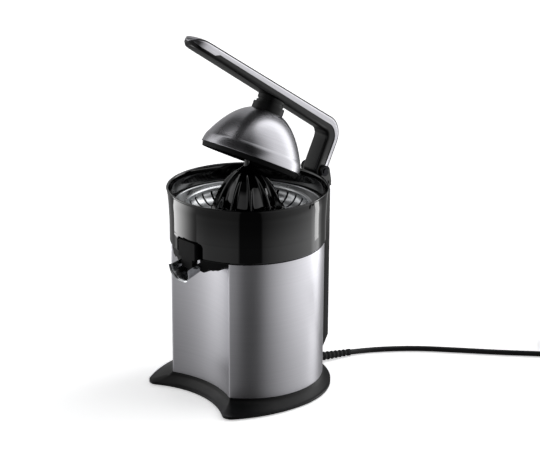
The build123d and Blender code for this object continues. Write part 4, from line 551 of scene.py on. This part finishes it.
# lever: a bent core of black plastic in a steel cover; stations run along it from the heel,
# up the leg, round the knee and out to the nose, each a line from the outer to the inner side
lever = {
    "hinge": (0, 96.5, 217.5), "tilt": math.radians(27),      # it leans back from upright at rest
    "legBack": -8.0, "legFront": 8.8, "heel": 8.4,
    "topAtBack": 55.3, "topRise": math.tan(math.radians(5.04)),
    "underAtFront": 39.9, "underRise": math.tan(math.radians(6.27)),
    "kneeOuter": 23.5, "kneeInner": 9.0,
    "reach": 231.0, "noseTop": 14.0, "noseUnder": 10.0, "noseLift": 4.0, "nosePlan": 18.0,
    "halfAtLeg": 12.0, "halfAtNose": 15.5,
    "metal": 0.8, "edgeRound": 4.4, "crown": 0.8, "coverFrom": 1.4,
    "flangeLeg": 6.8, "flangeShare": 0.52, "wrapFrom": 199.5, "wrapKeeps": 3.0,
    "coreTopRound": 1.0, "coreRound": 3.6,
    "heelSteps": 9, "legSteps": 14, "kneeSteps": 25, "armSteps": 40, "roundSteps": 7, "topSteps": 15,
    # degrees round the nose, close together where the cover's flange deepens
    "noseTurns": [0, 2, 4, 5.6, 6.4, 6.9, 7.6, 9, 12, 16, 20, 25, 30, 35, 40, 45, 50, 55, 60, 65, 70, 74,
                  78, 82, 86, 90],
}


def leverLines(look):
    # the outer and inner side lines, station by station, and which stretch each belongs to: heel,
    # leg, knee, arm or nose; each side is straight up the leg, an arc that touches both lines at
    # the knee, straight along the arm, and a quarter of an ellipse at the nose
    topSlope, underSlope = math.atan(look["topRise"]), math.atan(look["underRise"])
    heel = np.linspace(0, math.pi / 2, look["heelSteps"])[:-1]
    middle = (look["legBack"] + look["legFront"]) / 2
    outer = [np.stack([middle - look["heel"] * np.sin(heel), -look["heel"] * np.cos(heel)], axis=1)]
    inner = [np.stack([middle + look["heel"] * np.sin(heel), -look["heel"] * np.cos(heel)], axis=1)]
    lines = []
    for start, radius, level, rise, slope in (
            (look["legBack"], look["kneeOuter"], look["topAtBack"], look["topRise"], topSlope),
            (look["legFront"], look["kneeInner"], look["underAtFront"], look["underRise"], underSlope)):
        across = start + radius
        touch = across - radius * math.sin(slope)
        lines.append((across, level + (touch - start) * rise - radius * math.cos(slope), radius, slope))
    legShare = np.linspace(0, 1, look["legSteps"])[:-1, None]
    for side, start, (across, level, radius, slope) in zip(
            (outer, inner), (look["legBack"], look["legFront"]), lines):
        side.append(np.concatenate([np.full_like(legShare, start), legShare * level], axis=1))
        turn = np.linspace(math.pi, math.pi / 2 + slope, look["kneeSteps"])[:, None]
        side.append(np.concatenate([across + radius * np.cos(turn), level + radius * np.sin(turn)],
                                   axis=1))
    nose = np.radians(look["noseTurns"])
    armShare = np.linspace(0, 1, look["armSteps"])[1:-1]
    tipDrop = (look["topAtBack"] + (look["reach"] - look["legBack"]) * look["topRise"]
               - look["underAtFront"] - (look["reach"] - look["legFront"]) * look["underRise"]
               - look["noseLift"])
    for side, start, level, rise, length, drop in (
            (outer, look["legBack"], look["topAtBack"], look["topRise"], look["noseTop"], -tipDrop),
            (inner, look["legFront"], look["underAtFront"], look["underRise"], look["noseUnder"],
             look["noseLift"])):
        a = side[-1][-1, 0] + armShare * (look["reach"] - length - side[-1][-1, 0])
        side.append(np.stack([a, level + (a - start) * rise], axis=1))
        a = look["reach"] - length + length * np.sin(nose)
        side.append(np.stack([a, level + (a - start) * rise + drop * (1 - np.cos(nose))], axis=1))
    stretch = np.repeat([0, 1, 2, 3, 4], [len(part) for part in outer])
    return np.concatenate(outer), np.concatenate(inner), stretch


def leverHalf(a, look):
    # the half width at a place along the arm: a slow taper, then half an ellipse round the nose
    along = np.clip((a - look["legFront"]) / (look["reach"] - look["legFront"]), 0, 1)
    beyond = np.clip((a - look["reach"] + look["nosePlan"]) / look["nosePlan"], 0, 1)
    half = look["halfAtLeg"] + (look["halfAtNose"] - look["halfAtLeg"]) * along
    return half * np.sqrt(1 - beyond ** 2)


def leverPoints(outer, inner, across, depth, inset, look):
    # section points, given as shares of the half width and as depths below the outer line
    down = inner - outer
    length = np.maximum(np.linalg.norm(down, axis=1, keepdims=True), 1e-6)
    place = outer[:, None] + (down / length)[:, None] * depth[:, :, None]
    x = across * np.maximum(leverHalf(place[:, :, 0], look) - inset, 0)
    a, v = place[:, :, 0], place[:, :, 1]
    hinge, tilt = look["hinge"], look["tilt"]
    return np.stack([hinge[0] + x, hinge[1] - a * math.cos(tilt) + v * math.sin(tilt),
                     hinge[2] + a * math.sin(tilt) + v * math.cos(tilt)], axis=-1)


outerLine, innerLine, stretch = leverLines(lever)
chord = np.linalg.norm(innerLine - outerLine, axis=1)[:, None]
halfWidth = leverHalf(outerLine[:, 0], lever)[:, None]
quarter = np.linspace(0, math.pi / 2, lever["roundSteps"])[None, :]


def leverCore(look):
    # a ring round each section: two small corners under the cover and two rounder ones below
    wide = np.maximum(halfWidth - look["metal"], 0.01)
    top = np.minimum(look["metal"], 0.4 * chord)
    small = np.minimum(np.minimum(look["coreTopRound"], 0.3 * (chord - top)), 0.5 * wide)
    large = np.minimum(np.minimum(look["coreRound"], 0.45 * (chord - top)), 0.6 * wide)
    side = np.concatenate([wide - small + small * np.sin(quarter),
                           wide - large + large * np.cos(quarter)], axis=1)
    depth = np.concatenate([top + small - small * np.cos(quarter),
                            chord - large + large * np.sin(quarter)], axis=1)
    across = np.concatenate([side, -side[:, ::-1]], axis=1) / wide
    depth = np.concatenate([depth, depth[:, ::-1]], axis=1)
    return leverPoints(outerLine, innerLine, across, depth, look["metal"], look)


def leverCover(look):
    # a channel over the outer side: flange, rounded edge and slightly crowned top, and back inside
    a = outerLine[:, :1]
    knee = np.clip((np.arange(len(a))[:, None] - np.sum(stretch < 2)) / np.sum(stretch == 2), 0, 1)
    flange = look["flangeLeg"] + (look["flangeShare"] * chord - look["flangeLeg"]) * knee
    flange = np.where(a > look["wrapFrom"], np.maximum(chord - look["wrapKeeps"], 0.5 * chord), flange)
    flange = np.minimum(flange, 0.9 * chord)
    keep = (outerLine[:, 1] >= look["coverFrom"]) & (stretch > 0)
    skins = []
    for inset in (0.0, look["metal"]):
        bend = np.minimum(np.minimum(look["edgeRound"], 0.45 * chord), 0.6 * np.maximum(halfWidth, 0.01))
        bend = np.maximum(bend - inset, 0.05)
        wide = np.maximum(halfWidth - inset, 0.02)
        flat = np.linspace(1, -1, look["topSteps"])[None, 1:-1] * (wide - bend)
        edge = wide - bend + bend * np.cos(quarter)
        sink = look["crown"] * (flat / wide) ** 2 + inset
        sinkEdge = look["crown"] * ((wide - bend) / wide) ** 2 + inset + bend - bend * np.sin(quarter)
        across = np.concatenate([wide, edge, flat, -edge[:, ::-1], -wide], axis=1) / wide
        depth = np.concatenate([flange, np.minimum(sinkEdge, flange), np.minimum(sink, flange),
                                np.minimum(sinkEdge, flange)[:, ::-1], flange], axis=1)
        skins.append(leverPoints(outerLine, innerLine, across, depth, inset, look)[keep])
    rim = (skins[0][:1] + skins[1][:1]) / 2
    skins = [np.concatenate([rim, skin]) for skin in skins]
    return np.concatenate([skins[0], skins[1][:, ::-1]], axis=1)


makePiece("leverCore", leverCore(lever), "leverAbs", "lever", "satin_black", ["lever_core"],
          ringColumns=True)
makePiece("leverCover", leverCover(lever), "armSteel", "lever", "brushed_steel", ["lever_cover"],
          ringColumns=True, crease=50)
print("lever made")

# press dome: a pressed and brushed steel cap over the black liner
dome = {
    "centre": (0, 3.94, 248.39), "tilt": math.radians(27),
    "rim": 53.2, "waist": 50.6, "skirt": 11.5, "leanPower": 1.6,
    "crownRadius": 53.5, "crownFrom": 3.0, "crownSpan": 49.5, "bow": 1.1, "draw": 0.43, "top": 49.4,
    "metal": 0.8, "lip": 0.45, "lipPlace": (0.1, 0.2), "lipTurns": (200, 380),
    "skirtSteps": 8, "crownSteps": 60, "lipSteps": 9, "turns": 192,
}


def domeOutline(look):
    # a skirt whose radius = rim - (rim - waist) (h / skirt) ^ lean, then a crown whose
    # radius = R (1 - ((h - from) / span) ^ bow) ^ draw, with points closer together near the top
    skirtHeight = np.linspace(0, look["skirt"], look["skirtSteps"])[:-1]
    lean = (skirtHeight / look["skirt"]) ** look["leanPower"]
    skirt = look["rim"] - (look["rim"] - look["waist"]) * lean
    rise = 1 - np.linspace(1, 0, look["crownSteps"]) ** 1.5
    height = look["skirt"] + (look["top"] - look["skirt"]) * rise
    up = (height - look["crownFrom"]) / look["crownSpan"]
    cap = look["crownRadius"] * (1 - up ** look["bow"]) ** look["draw"]
    outer = np.stack([np.concatenate([skirt, cap]), np.concatenate([skirtHeight, height])], axis=1)
    innerSide = outer + look["metal"] * leftOf(outer)
    roll = np.radians(np.linspace(*look["lipTurns"], look["lipSteps"]))
    middle = np.array([look["rim"] - look["lipPlace"][0], look["lipPlace"][1]])
    lip = middle + look["lip"] * np.stack([np.cos(roll), np.sin(roll)], axis=1)
    return np.concatenate([innerSide[::-1], lip, outer])


makePiece("domeShell", spun(domeOutline(dome), fullTurn(dome["turns"]), dome["centre"], dome["tilt"]),
          "domeSteel", "lever", "brushed_steel", ["dome_shell"], ringRows=True, ringColumns=True)
print("dome made")

# juice bowl: a glossy moulded band that flares to its rim, with a funnel round the shaft, and a
# rounded window pressed into its front for the outlet
bowl = {
    "outer": [(81.3, 162.2), (81.3, 172), (81.34, 180), (81.5, 188), (81.85, 196), (82.3, 203),
              (82.85, 210), (83.7, 215.5), (84.2, 217.2)],
    "rim": [(84.3, 217.9), (84.1, 218.3), (83.5, 218.4), (82.4, 218.2), (81.9, 217.6)],
    "inner": [(81.6, 216.6), (81.0, 212), (80.4, 206), (80.0, 199.2), (76.2, 199.0), (75.0, 198.0),
              (74.4, 190), (74.2, 166), (72.2, 164), (18.5, 166), (16.2, 168), (16, 186), (13.4, 186),
              (13.2, 161.1), (80.3, 161.1)],
    "steps": 10,
    "window": {"half": 20.0, "top": 177.5, "round": 5.0, "back": -75.5},
    # close rows over the window's height, and close columns this far past its sides
    "fineFrom": 162.3, "fineTo": 178.4, "fineRows": 48, "fineStep": 0.35, "fineSide": 1.5,
    "rowGap": 0.2, "turns": 160,
}


def bowlGrid(look):
    # the outline spun round; where the signed distance to the window's rounded outline is
    # negative, the outer wall steps back to the window's flat back
    band = smoothLine(look["outer"], look["steps"])
    radius, window = look["outer"][0][0], look["window"]
    fineHeights = np.linspace(look["fineFrom"], look["fineTo"], look["fineRows"])
    fineRows = np.stack([np.full_like(fineHeights, radius), fineHeights], axis=1)
    band = np.concatenate([fineRows, band[band[:, 1] > look["fineTo"] + look["rowGap"]]])
    outline = np.concatenate([band, look["rim"], look["inner"]])
    reach = math.asin((window["half"] + look["fineSide"]) / radius)
    fine = np.arange(-reach, reach, look["fineStep"] / radius)
    coarse = np.linspace(reach, 2 * math.pi - reach, look["turns"])
    turns = np.concatenate([coarse, fine[1:] + 2 * math.pi])
    points = spun(outline, (turns - math.pi / 2)[None, :])
    x, y, z = points[..., 0], points[..., 1], points[..., 2]
    fromSide = np.abs(x) - (window["half"] - window["round"])
    fromTop = z - (window["top"] - window["round"])
    distance = np.hypot(np.maximum(fromSide, 0), np.maximum(fromTop, 0)) - window["round"]
    inside = (distance < 0) & (y < 0)
    inside[len(band):] = False
    points[..., 1] = np.where(inside, np.maximum(y, window["back"]), y)
    return points


makePiece("juiceBowl", bowlGrid(bowl), "glossAbs", "housing", "gloss_black", ["juice_bowl"],
          ringRows=True, ringColumns=True, crease=30)
print("bowl made")

# strainer: a pressed steel dish, its rim flat on the bowl's ledge and its round wall slotted
strainer = {
    # a rolled bead, the flat ring, and a bead where the wall begins
    "rim": [(77.8, 199.3), (77.75, 200.0), (77.2, 200.4), (76.5, 200.2), (76.1, 199.75), (67.4, 199.6),
            (66.7, 199.95), (66.0, 199.7), (65.2, 199.0)],
    "wallRadius": 64.4, "wallTop": 198.2, "floorRadius": 46.0, "floor": 184.0, "floorMiddle": 30,
    "hole": 16.7, "metal": 0.7, "wallRows": 26,
    "slots": 32, "slotWidth": 2.6, "phase": math.radians(6.4),
    "slotFrom": 2, "slotTo": 21,      # the rows of the wall that a slot starts and ends at
    "landSteps": 4,
}


def strainerGrid(look):
    # the wall is a quarter of an ellipse; columns stand in pairs at the sides of each slot, whose
    # half width is (w / 2) sqrt(1 - (1 - s / (w / 2)) ^ 2) at a way s of under w / 2 from its end
    t = np.linspace(0, math.pi / 2, look["wallRows"])
    wall = np.stack([look["floorRadius"] + (look["wallRadius"] - look["floorRadius"]) * np.cos(t),
                     look["wallTop"] - (look["wallTop"] - look["floor"]) * np.sin(t)], axis=1)
    inwards = [(look["floorMiddle"], look["floor"]), (look["hole"], look["floor"])]
    top = np.concatenate([look["rim"], wall, inwards])
    under = top + look["metal"] * leftOf(top)
    first, last = (len(look["rim"]) + look[name] for name in ("slotFrom", "slotTo"))
    way = np.concatenate([[0], np.cumsum(np.linalg.norm(np.diff(top, axis=0), axis=1))])
    blunt = look["slotWidth"] / 2
    fromEnd = np.clip(np.minimum(way - way[first], way[last] - way), 0, blunt)
    gap = blunt * np.sqrt(1 - (1 - fromEnd / blunt) ** 2)
    gap[:first] = gap[last + 1:] = blunt
    gap = (gap / top[:, 0])[:, None]
    pitch = 2 * math.pi / look["slots"]
    land = np.linspace(0, 1, look["landSteps"] + 1)[None, 1:-1]
    local = np.concatenate([-gap, gap, gap + land * (pitch - 2 * gap)], axis=1)
    turns = look["phase"] + np.arange(look["slots"])[None, :, None] * pitch + local[:, None, :]
    turns = turns.reshape(len(top), -1)
    turns = np.concatenate([turns, turns[::-1]])
    section = np.concatenate([top, under[::-1]])
    grid = np.stack([section[:, :1] * np.cos(turns), section[:, :1] * np.sin(turns),
                     section[:, 1:] + 0 * turns], axis=-1)
    rows, columns = turns.shape
    faces = gridFaces(rows, columns, True, True)
    row, column = np.divmod(np.arange(len(faces)), columns)
    mirrored = np.minimum(row, rows - 2 - row)
    cutAway = (column % local.shape[1] == 0) & (mirrored >= first) & (mirrored < last) & (row < rows - 1)
    span = np.arange(first, last)[:, None]
    walls = []
    for edge in (0, 1):
        upper = span * columns + np.arange(edge, columns, local.shape[1])[None, :]
        lower = upper + (rows - 1 - 2 * span) * columns
        walls.append(np.stack([upper, upper + columns, lower - columns, lower], axis=-1).reshape(-1, 4))
    return grid, np.concatenate([faces[~cutAway]] + walls).tolist()


strainerPoints, strainerFaces = strainerGrid(strainer)
makePiece("strainer", strainerPoints, "strainerSteel", "housing", "brushed_steel", ["strainer"],
          crease=30, faces=strainerFaces)
print("strainer made")

# reamer: glossy moulded cone on a flat skirt, with ribs that run up into a narrow nib
reamer = {
    "skirt": [(0.01, 193.5), (38.0, 193.5), (38.5, 193.9), (38.5, 195.4), (38.1, 195.9), (37.2, 196.1)],
    "crest": [(36.9, 196.6), (36, 200), (33.9, 205), (31.3, 210.5), (28.6, 216), (25.2, 221.5),
              (20.4, 227.4), (14.4, 232.6), (8.6, 236.6), (4.8, 239.8), (3.5, 243), (3.2, 246.2)],
    "tip": [(3.0, 247.0), (2.3, 247.45), (1.2, 247.6), (0.01, 247.62)],
    "ribs": 10, "ribHalf": 1.9, "valley": 0.79,      # the valleys' radius as a share of the crest's
    "blendFrom": 229.0, "blendTo": 241.0, "crestSteps": 6, "turns": 560,
}


def reamerGrid(look):
    # radius = valley + (crest - valley) / (1 + (d / ribHalf) ^ 4), with d the way round from a rib
    crest = smoothLine(look["crest"], look["crestSteps"])
    outline = np.concatenate([look["skirt"], crest, look["tip"]])
    share = np.full(len(outline), look["valley"])
    share[:len(look["skirt"])] = 1.0
    blend = np.clip((outline[:, 1] - look["blendFrom"]) / (look["blendTo"] - look["blendFrom"]), 0, 1)
    share = share + (1 - share) * blend * blend * (3 - 2 * blend)
    turns = fullTurn(look["turns"])
    radius = outline[:, :1]
    pitch = 2 * math.pi / look["ribs"]
    offset = np.abs((turns + pitch / 2) % pitch - pitch / 2) * radius
    bump = 1 / (1 + (offset / look["ribHalf"]) ** 4)
    reach = radius * (share[:, None] + (1 - share[:, None]) * bump)
    return np.stack([reach * np.cos(turns), reach * np.sin(turns), outline[:, 1:] + 0 * turns], axis=-1)


makePiece("reamer", reamerGrid(reamer), "glossAbs", "output", "gloss_black", ["reamer"],
          ringColumns=True)
print("reamer made")

# drip spout: a polished trough with a flared mouth, which tips on its pins
flap = {
    "back": (0, -73.4, 142.4), "fall": math.radians(11.8), "length": 19.0,
    "bottomHalf": 11.3, "topHalf": 12.3, "depth": 13.2, "corner": 8.0, "metal": 0.8,
    "spread": 1.6, "lipLength": 2.4, "lip": 1.5, "cornerSteps": 10, "troughSteps": 12, "lipSteps": 9,
}


def flapGrid(look):
    # the trough's section, moved outwards along its normals by an amount that grows to the mouth
    section = rounded([(look["topHalf"], look["depth"]), (look["bottomHalf"], 0),
                       (-look["bottomHalf"], 0), (-look["topHalf"], look["depth"])],
                      [0.0, look["corner"], look["corner"], 0.0], steps=look["cornerSteps"])
    section = section[look["cornerSteps"]:-look["cornerSteps"]]
    normal = leftOf(section)
    normal *= np.where((normal * (section - (0, look["depth"]))).sum(axis=1) < 0, -1, 1)[:, None]
    lipFrom = 1 - look["lipLength"] / look["length"]
    way = np.concatenate([np.linspace(0, lipFrom, look["troughSteps"]),
                          np.linspace(lipFrom, 1, look["lipSteps"])[1:]])
    flare = np.clip((way * look["length"] - look["length"] + look["lipLength"]) / look["lipLength"], 0, 1)
    push = look["spread"] * way + look["lip"] * flare ** 2
    outside, inside = (section[None] + normal[None] * (push - inset)[:, None, None]
                       for inset in (0.0, look["metal"]))
    flat = np.concatenate([outside, inside[:, ::-1]], axis=1)
    s = (way * look["length"])[:, None]
    x, h = flat[..., 0], flat[..., 1]
    y = look["back"][1] - s * math.cos(look["fall"]) - h * math.sin(look["fall"])
    z = look["back"][2] - s * math.sin(look["fall"]) + h * math.cos(look["fall"])
    grid = np.stack([x, y, z], axis=-1)
    count = len(section)
    closed = [(edge[:, :count] + edge[:, count:][:, ::-1]) / 2 for edge in (grid[:1], grid[-1:])]
    closed = [np.concatenate([edge, edge[:, ::-1]], axis=1) for edge in closed]
    return np.concatenate([closed[0], grid, closed[1]])


makePiece("spoutFlap", flapGrid(flap), "spoutSteel", "spout", "polished_steel", ["spout_flap"],
          ringColumns=True, crease=50)
print("spout made")

# spout fairing: the black trim in the hollow under the bowl, whose lower edge sinks in a wave from
# the shell's corners to the cheeks beside the spout
fairing = {
    "radius": 79.3, "top": 160.0, "backRadius": 105.9, "backCentre": -162.0, "cornerX": 44.2,
    "notch": 14.5, "notchBack": -57.2,
    "leastDepth": 0.6,
    # place across the hollow, height of the lower edge there
    "edge": [(0, 152.7), (14.5, 148.0), (19, 147.0), (22, 148.6), (24, 151.2), (26, 151.8),
             (29, 150.6), (32, 151.6), (35, 151.8), (37.5, 154.6), (41, 156.6), (43, 157.4),
             (44.2, 159.2)],
    "edgeSteps": 6, "sideColumns": 40,
}


def fairingGrid(look):
    # a four-sided section at each place across: along the round in front and the hollow behind
    side = np.linspace(look["notch"], look["cornerX"], look["sideColumns"])
    x = np.concatenate([-side[::-1], [-look["notch"]], [look["notch"]], side])
    inNotch = np.zeros(len(x), bool)
    inNotch[len(side):len(side) + 2] = True
    front = np.where(inNotch, look["notchBack"], -np.sqrt(look["radius"] ** 2 - x ** 2))
    back = look["backCentre"] + np.sqrt(look["backRadius"] ** 2 - x ** 2)
    front = np.minimum(front, back - look["leastDepth"])
    edge = smoothLine(look["edge"], look["edgeSteps"])
    low = np.interp(np.abs(x), edge[:, 0], edge[:, 1])
    high = np.full_like(x, look["top"])
    places = [(front, low), (front, high), (back, high), (back, low)]
    return np.stack([np.stack([x, y, z], axis=1) for y, z in places], axis=1)


fairingPoints = fairingGrid(fairing)
makePiece("spoutFairing", fairingPoints, "matteAbs", "housing", "satin_black", ["spout_fairing"],
          faces=cappedFaces(fairingPoints), crease=35)
print("fairing made")

# housing shell: brushed sheet wrapped to a circle with a hollow bay for the glass
shell = {
    "radius": 80.0, "bayRadius": 106.0, "bayCentre": -162.0, "corner": (45.09, -66.08),
    "round": 1.3, "low": 14.0, "high": 160.0, "edge": 0.4, "innerEdge": 0.1, "metal": 0.8,
    "roundSteps": 180, "baySteps": 60, "cornerSteps": 8, "edgeSteps": 4,
}


def shellGrid(look):
    # plan outline: the circle, the bay's hollow arc, and between them at each corner a small curve
    # (1 - t)^2 a + 2 t (1 - t) corner + t^2 b; the wall's section follows that outline outwards
    x, y = look["corner"]
    turn = math.atan2(y, x)
    gap = look["round"] / look["radius"]
    circle = np.linspace(turn + gap, math.pi - turn - gap, look["roundSteps"])
    body = look["radius"] * np.stack([np.cos(circle), np.sin(circle)], axis=1)
    bayTurn = math.atan2(y - look["bayCentre"], x)
    bayGap = look["round"] / look["bayRadius"]
    hollow = np.linspace(math.pi - bayTurn - bayGap, bayTurn + bayGap, look["baySteps"])
    bay = look["bayRadius"] * np.stack([np.cos(hollow), np.sin(hollow)], axis=1) + (0, look["bayCentre"])
    t = np.linspace(0, 1, look["cornerSteps"])[1:-1, None]
    left = (1 - t) ** 2 * body[-1] + 2 * t * (1 - t) * np.array([-x, y]) + t ** 2 * bay[0]
    right = (1 - t) ** 2 * bay[-1] + 2 * t * (1 - t) * np.array([x, y]) + t ** 2 * body[0]
    plan = np.concatenate([body, left, bay, right])
    along = np.roll(plan, -1, axis=0) - np.roll(plan, 1, axis=0)
    along /= np.linalg.norm(along, axis=1, keepdims=True)
    outward = np.stack([along[:, 1], -along[:, 0]], axis=1)
    low, high, edge, metal = look["low"], look["high"], look["edge"], look["metal"]
    wall = rounded([(0, low), (0, high), (-metal, high), (-metal, low)],
                   [edge, edge, look["innerEdge"], look["innerEdge"]], steps=look["edgeSteps"])
    flat = plan[None] + outward[None] * wall[:, :1, None]
    return np.concatenate([flat, np.broadcast_to(wall[:, 1:, None], flat[..., :1].shape)], axis=-1)


makePiece("steelShell", shellGrid(shell), "bodySteel", "housing", "brushed_steel", ["steel_shell"],
          ringRows=True, ringColumns=True, crease=50)
print("shell made")

# column: a moulded channel that covers the fork's tongue, tapered at its foot
column = {
    "half": 15.5, "wall": 2.5, "back": 106.5, "footBack": 99.8, "round": 3.0, "innerRound": 0.8,
    "low": 17.0, "taperTop": 28.5, "deck": 161.0, "deckStep": 0.1, "top": 195.9,
    "bodyGap": 80.15, "bowlGap": 83.6,      # radii of its open side, clear of the body and the bowl
    "sharp": 0.01,
}


def columnGrid(look):
    # a channel's outline at each level: its open side follows the body's round, then the bowl's
    half, inner, wall = look["half"], look["half"] - look["wall"], look["wall"]
    sharp, bend, innerBend = look["sharp"], look["round"], look["innerRound"]
    radii = [sharp, bend, bend, sharp, sharp, innerBend, innerBend, sharp]
    rows = []
    for level, back, gap in ((look["low"], look["footBack"], look["bodyGap"]),
                             (look["taperTop"], look["back"], look["bodyGap"]),
                             (look["deck"], look["back"], look["bodyGap"]),
                             (look["deck"] + look["deckStep"], look["back"], look["bowlGap"]),
                             (look["top"], look["back"], look["bowlGap"])):
        front, innerFront = math.sqrt(gap ** 2 - half ** 2), math.sqrt(gap ** 2 - inner ** 2)
        outline = rounded([(-half, front), (-half, back), (half, back), (half, front),
                           (inner, innerFront), (inner, back - wall), (-inner, back - wall),
                           (-inner, innerFront)], radii)
        rows.append(np.column_stack([outline, np.full(len(outline), level)]))
    return np.stack(rows)


columnPoints = columnGrid(column)
makePiece("spineCover", columnPoints, "satinAbs", "housing", "satin_black", ["spine_cover"],
          faces=cappedFaces(columnPoints), crease=35)

# hinge fork: a cast tongue and block with a rounded cheek on either side of the lever
fork = {
    "half": 15.5, "cheek": 3.2, "pin": (96.5, 217.5), "cheekRound": 5.4, "front": 91.6, "back": 106.0,
    "block": (196.1, 200.2), "seat": (199.8, 206.0), "root": (170.0, 196.3), "rootHalf": 12.8,
    "tongue": (70.0, 170.3), "tongueHalf": 11.0, "tongueBack": 86.1, "bodyGap": 80.2, "bowlGap": 83.6,
    "round": 3.0, "inset": 2.7, "cheekPast": 1.2, "saddleRound": 4.0, "rootRound": 0.5, "edge": 0.3,
}


def forkTubes(look):
    # two cheeks, the seat under the lever's heel, the block, its root and the tongue below them
    y, z = look["pin"]
    front, back, edge = look["front"], look["back"], look["edge"]
    cheekBack = 2 * y + look["cheekPast"] - front
    low, high, bend = look["block"][1], z + look["cheekRound"], look["cheekRound"]
    cheek = rounded([(front, low), (front, high), (cheekBack, high), (back, look["seat"][1]), (back, low)],
                    [edge, bend, bend, look["saddleRound"], edge])
    tubes = [prism(cheek, np.array([0, look["cheek"]]) + start, [2, 0, 1])
             for start in (-look["half"], look["half"] - look["cheek"])]
    for half, near, far, levels, bend in (
            (look["half"], front, back, look["seat"], look["round"]),
            (look["half"], look["bowlGap"], back, look["block"], look["round"]),
            (look["rootHalf"], look["bowlGap"], back - look["inset"], look["root"], look["rootRound"]),
            (look["tongueHalf"], look["bodyGap"], look["tongueBack"], look["tongue"], edge)):
        outline = rounded([(-half, near), (-half, far), (half, far), (half, near)],
                          [edge, bend, bend, edge])
        tubes.append(prism(outline, levels, [0, 1, 2]))
    return tubes


forkPoints, forkFaces = joined(*forkTubes(fork))
makePiece("hingeFork", forkPoints, "paintedCast", "housing", "black_cast", ["hinge_fork"],
          faces=forkFaces, crease=35)
print("column and fork made")

# strain relief: a soft ribbed sleeve that tapers along the cord
relief = {
    "start": (17.8, 86.6, 7.3), "way": (0.22, 0.975, -0.072), "length": 42.0, "root": 5.2, "tip": 3.8,
    "collar": 3.0, "ribPitch": 5.2, "ribDepth": 0.9, "endRound": (0.3, 0.4),
    # the neck in the foot's wall and the flange behind it, as (place along, radius)
    "neck": [(-12.1, 0.01), (-12.1, 3.5), (-9.2, 3.5), (-9.2, 2.4), (-0.1, 2.4)],
    "steps": 110, "columns": 40,
}


def alongWay(outline, start, way, steps):
    # an outline of (place along, radius) carried round a line
    way = np.array(way) / np.linalg.norm(way)
    side = np.cross(way, (0, 0, 1))
    side /= np.linalg.norm(side)
    up = np.cross(side, way)
    turns = fullTurn(steps)[0][None, :, None]
    ring = np.cos(turns) * side + np.sin(turns) * up
    return np.array(start) + outline[:, :1, None] * way + outline[:, 1:, None] * ring


def reliefOutline(look):
    # radius = root + (tip - root) s / length, less ribDepth (1 - cos(2 pi s / pitch)) / 2 past the
    # collar
    s = np.linspace(0, look["length"], look["steps"])
    taper = look["root"] + (look["tip"] - look["root"]) * s / look["length"]
    ribbed = np.clip((s - look["collar"]) / look["ribPitch"], 0, None)
    ribbed = np.minimum(ribbed, math.floor(ribbed[-1]))
    radius = taper - look["ribDepth"] * (1 - np.cos(2 * math.pi * ribbed)) / 2
    past, less = look["endRound"]
    ends = [(look["length"] + past, look["tip"] - less), (look["length"] + past, 0.01)]
    return np.concatenate([look["neck"], np.stack([s, radius], axis=1), ends])


reliefPoints = alongWay(reliefOutline(relief), relief["start"], relief["way"], relief["columns"])
makePiece("strainRelief", reliefPoints, "softRubber", "housing", "black_rubber", ["strain_relief"],
          ringColumns=True)

# plug: a moulded body with a waisted grip and a ribbed sleeve
plug = {
    "sleeve": 23.0, "length": 32.0, "sleeveRadius": (3.6, 5.0), "ribPitch": 4.6, "ribDepth": 0.8,
    "half": 13.0, "halfHeight": 6.7, "shoulder": 5.0, "waist": 1.2, "edge": 1.2, "square": 5.0,
    "sleeveSteps": 60, "shoulderSteps": 12, "bodySteps": 20, "columns": 56,
    "lastRings": [1.0, 0.5, 0.15, 0.0], "bodyEnd": 1.5,      # places of the last rings, from the end
}


def plugGrid(look, start, heading):
    # each ring is a superellipse |x / wide| ^ p + |y / tall| ^ p = 1, with p = 2 on the sleeve,
    # which is round, growing to near square on the body
    total = look["sleeve"] + look["length"]
    neck = look["sleeve"] + look["shoulder"]
    s = np.concatenate([np.linspace(0, look["sleeve"], look["sleeveSteps"]),
                        look["sleeve"] + look["shoulder"] * np.linspace(0, 1, look["shoulderSteps"])[1:],
                        np.linspace(neck, total - look["bodyEnd"], look["bodySteps"])[1:],
                        total - np.array(look["lastRings"])])
    grow = np.clip((s - look["sleeve"]) / look["shoulder"], 0, 1)
    grow = grow * grow * (3 - 2 * grow)
    thin, thick = look["sleeveRadius"]
    sleeve = thin + (thick - thin) * np.clip(s / look["sleeve"], 0, 1)
    rib = look["ribDepth"] * (1 - np.cos(2 * math.pi * s / look["ribPitch"])) / 2
    sleeve = sleeve - np.where(s < look["sleeve"], rib, 0)
    body = np.clip((s - look["sleeve"] - look["shoulder"]) / (look["length"] - look["shoulder"]), 0, 1)
    end = np.clip((s - look["sleeve"] - look["length"]) / look["edge"] + 1, 0, 1)
    trim = look["edge"] * (1 - np.sqrt(np.maximum(1 - end ** 2, 0)))
    wide = sleeve + (look["half"] - look["waist"] * np.sin(math.pi * body) ** 2 - sleeve) * grow - trim
    tall = sleeve + (look["halfHeight"] - sleeve) * grow - trim
    power = (2 / (2 + (look["square"] - 2) * grow))[:, None]
    turns = fullTurn(look["columns"])
    cos, sin = np.cos(turns), np.sin(turns)
    across = wide[:, None] * np.sign(cos) * np.abs(cos) ** power
    height = tall[:, None] * np.sign(sin) * np.abs(sin) ** power
    left = np.array([-heading[1], heading[0], 0])
    return (np.array(start) + s[:, None, None] * heading + across[..., None] * left
            + height[..., None] * np.array([0, 0, 1]))


plugStart = cordLine[-1] - cordLook["plugSleeve"] * cordHeading
plugPoints = plugGrid(plug, plugStart, cordHeading)
plugPiece = makePiece("plugBody", plugPoints, "satinAbs", "housing", "satin_black", ["plug_body"],
                      faces=cappedFaces(plugPoints))
print("relief and plug made")
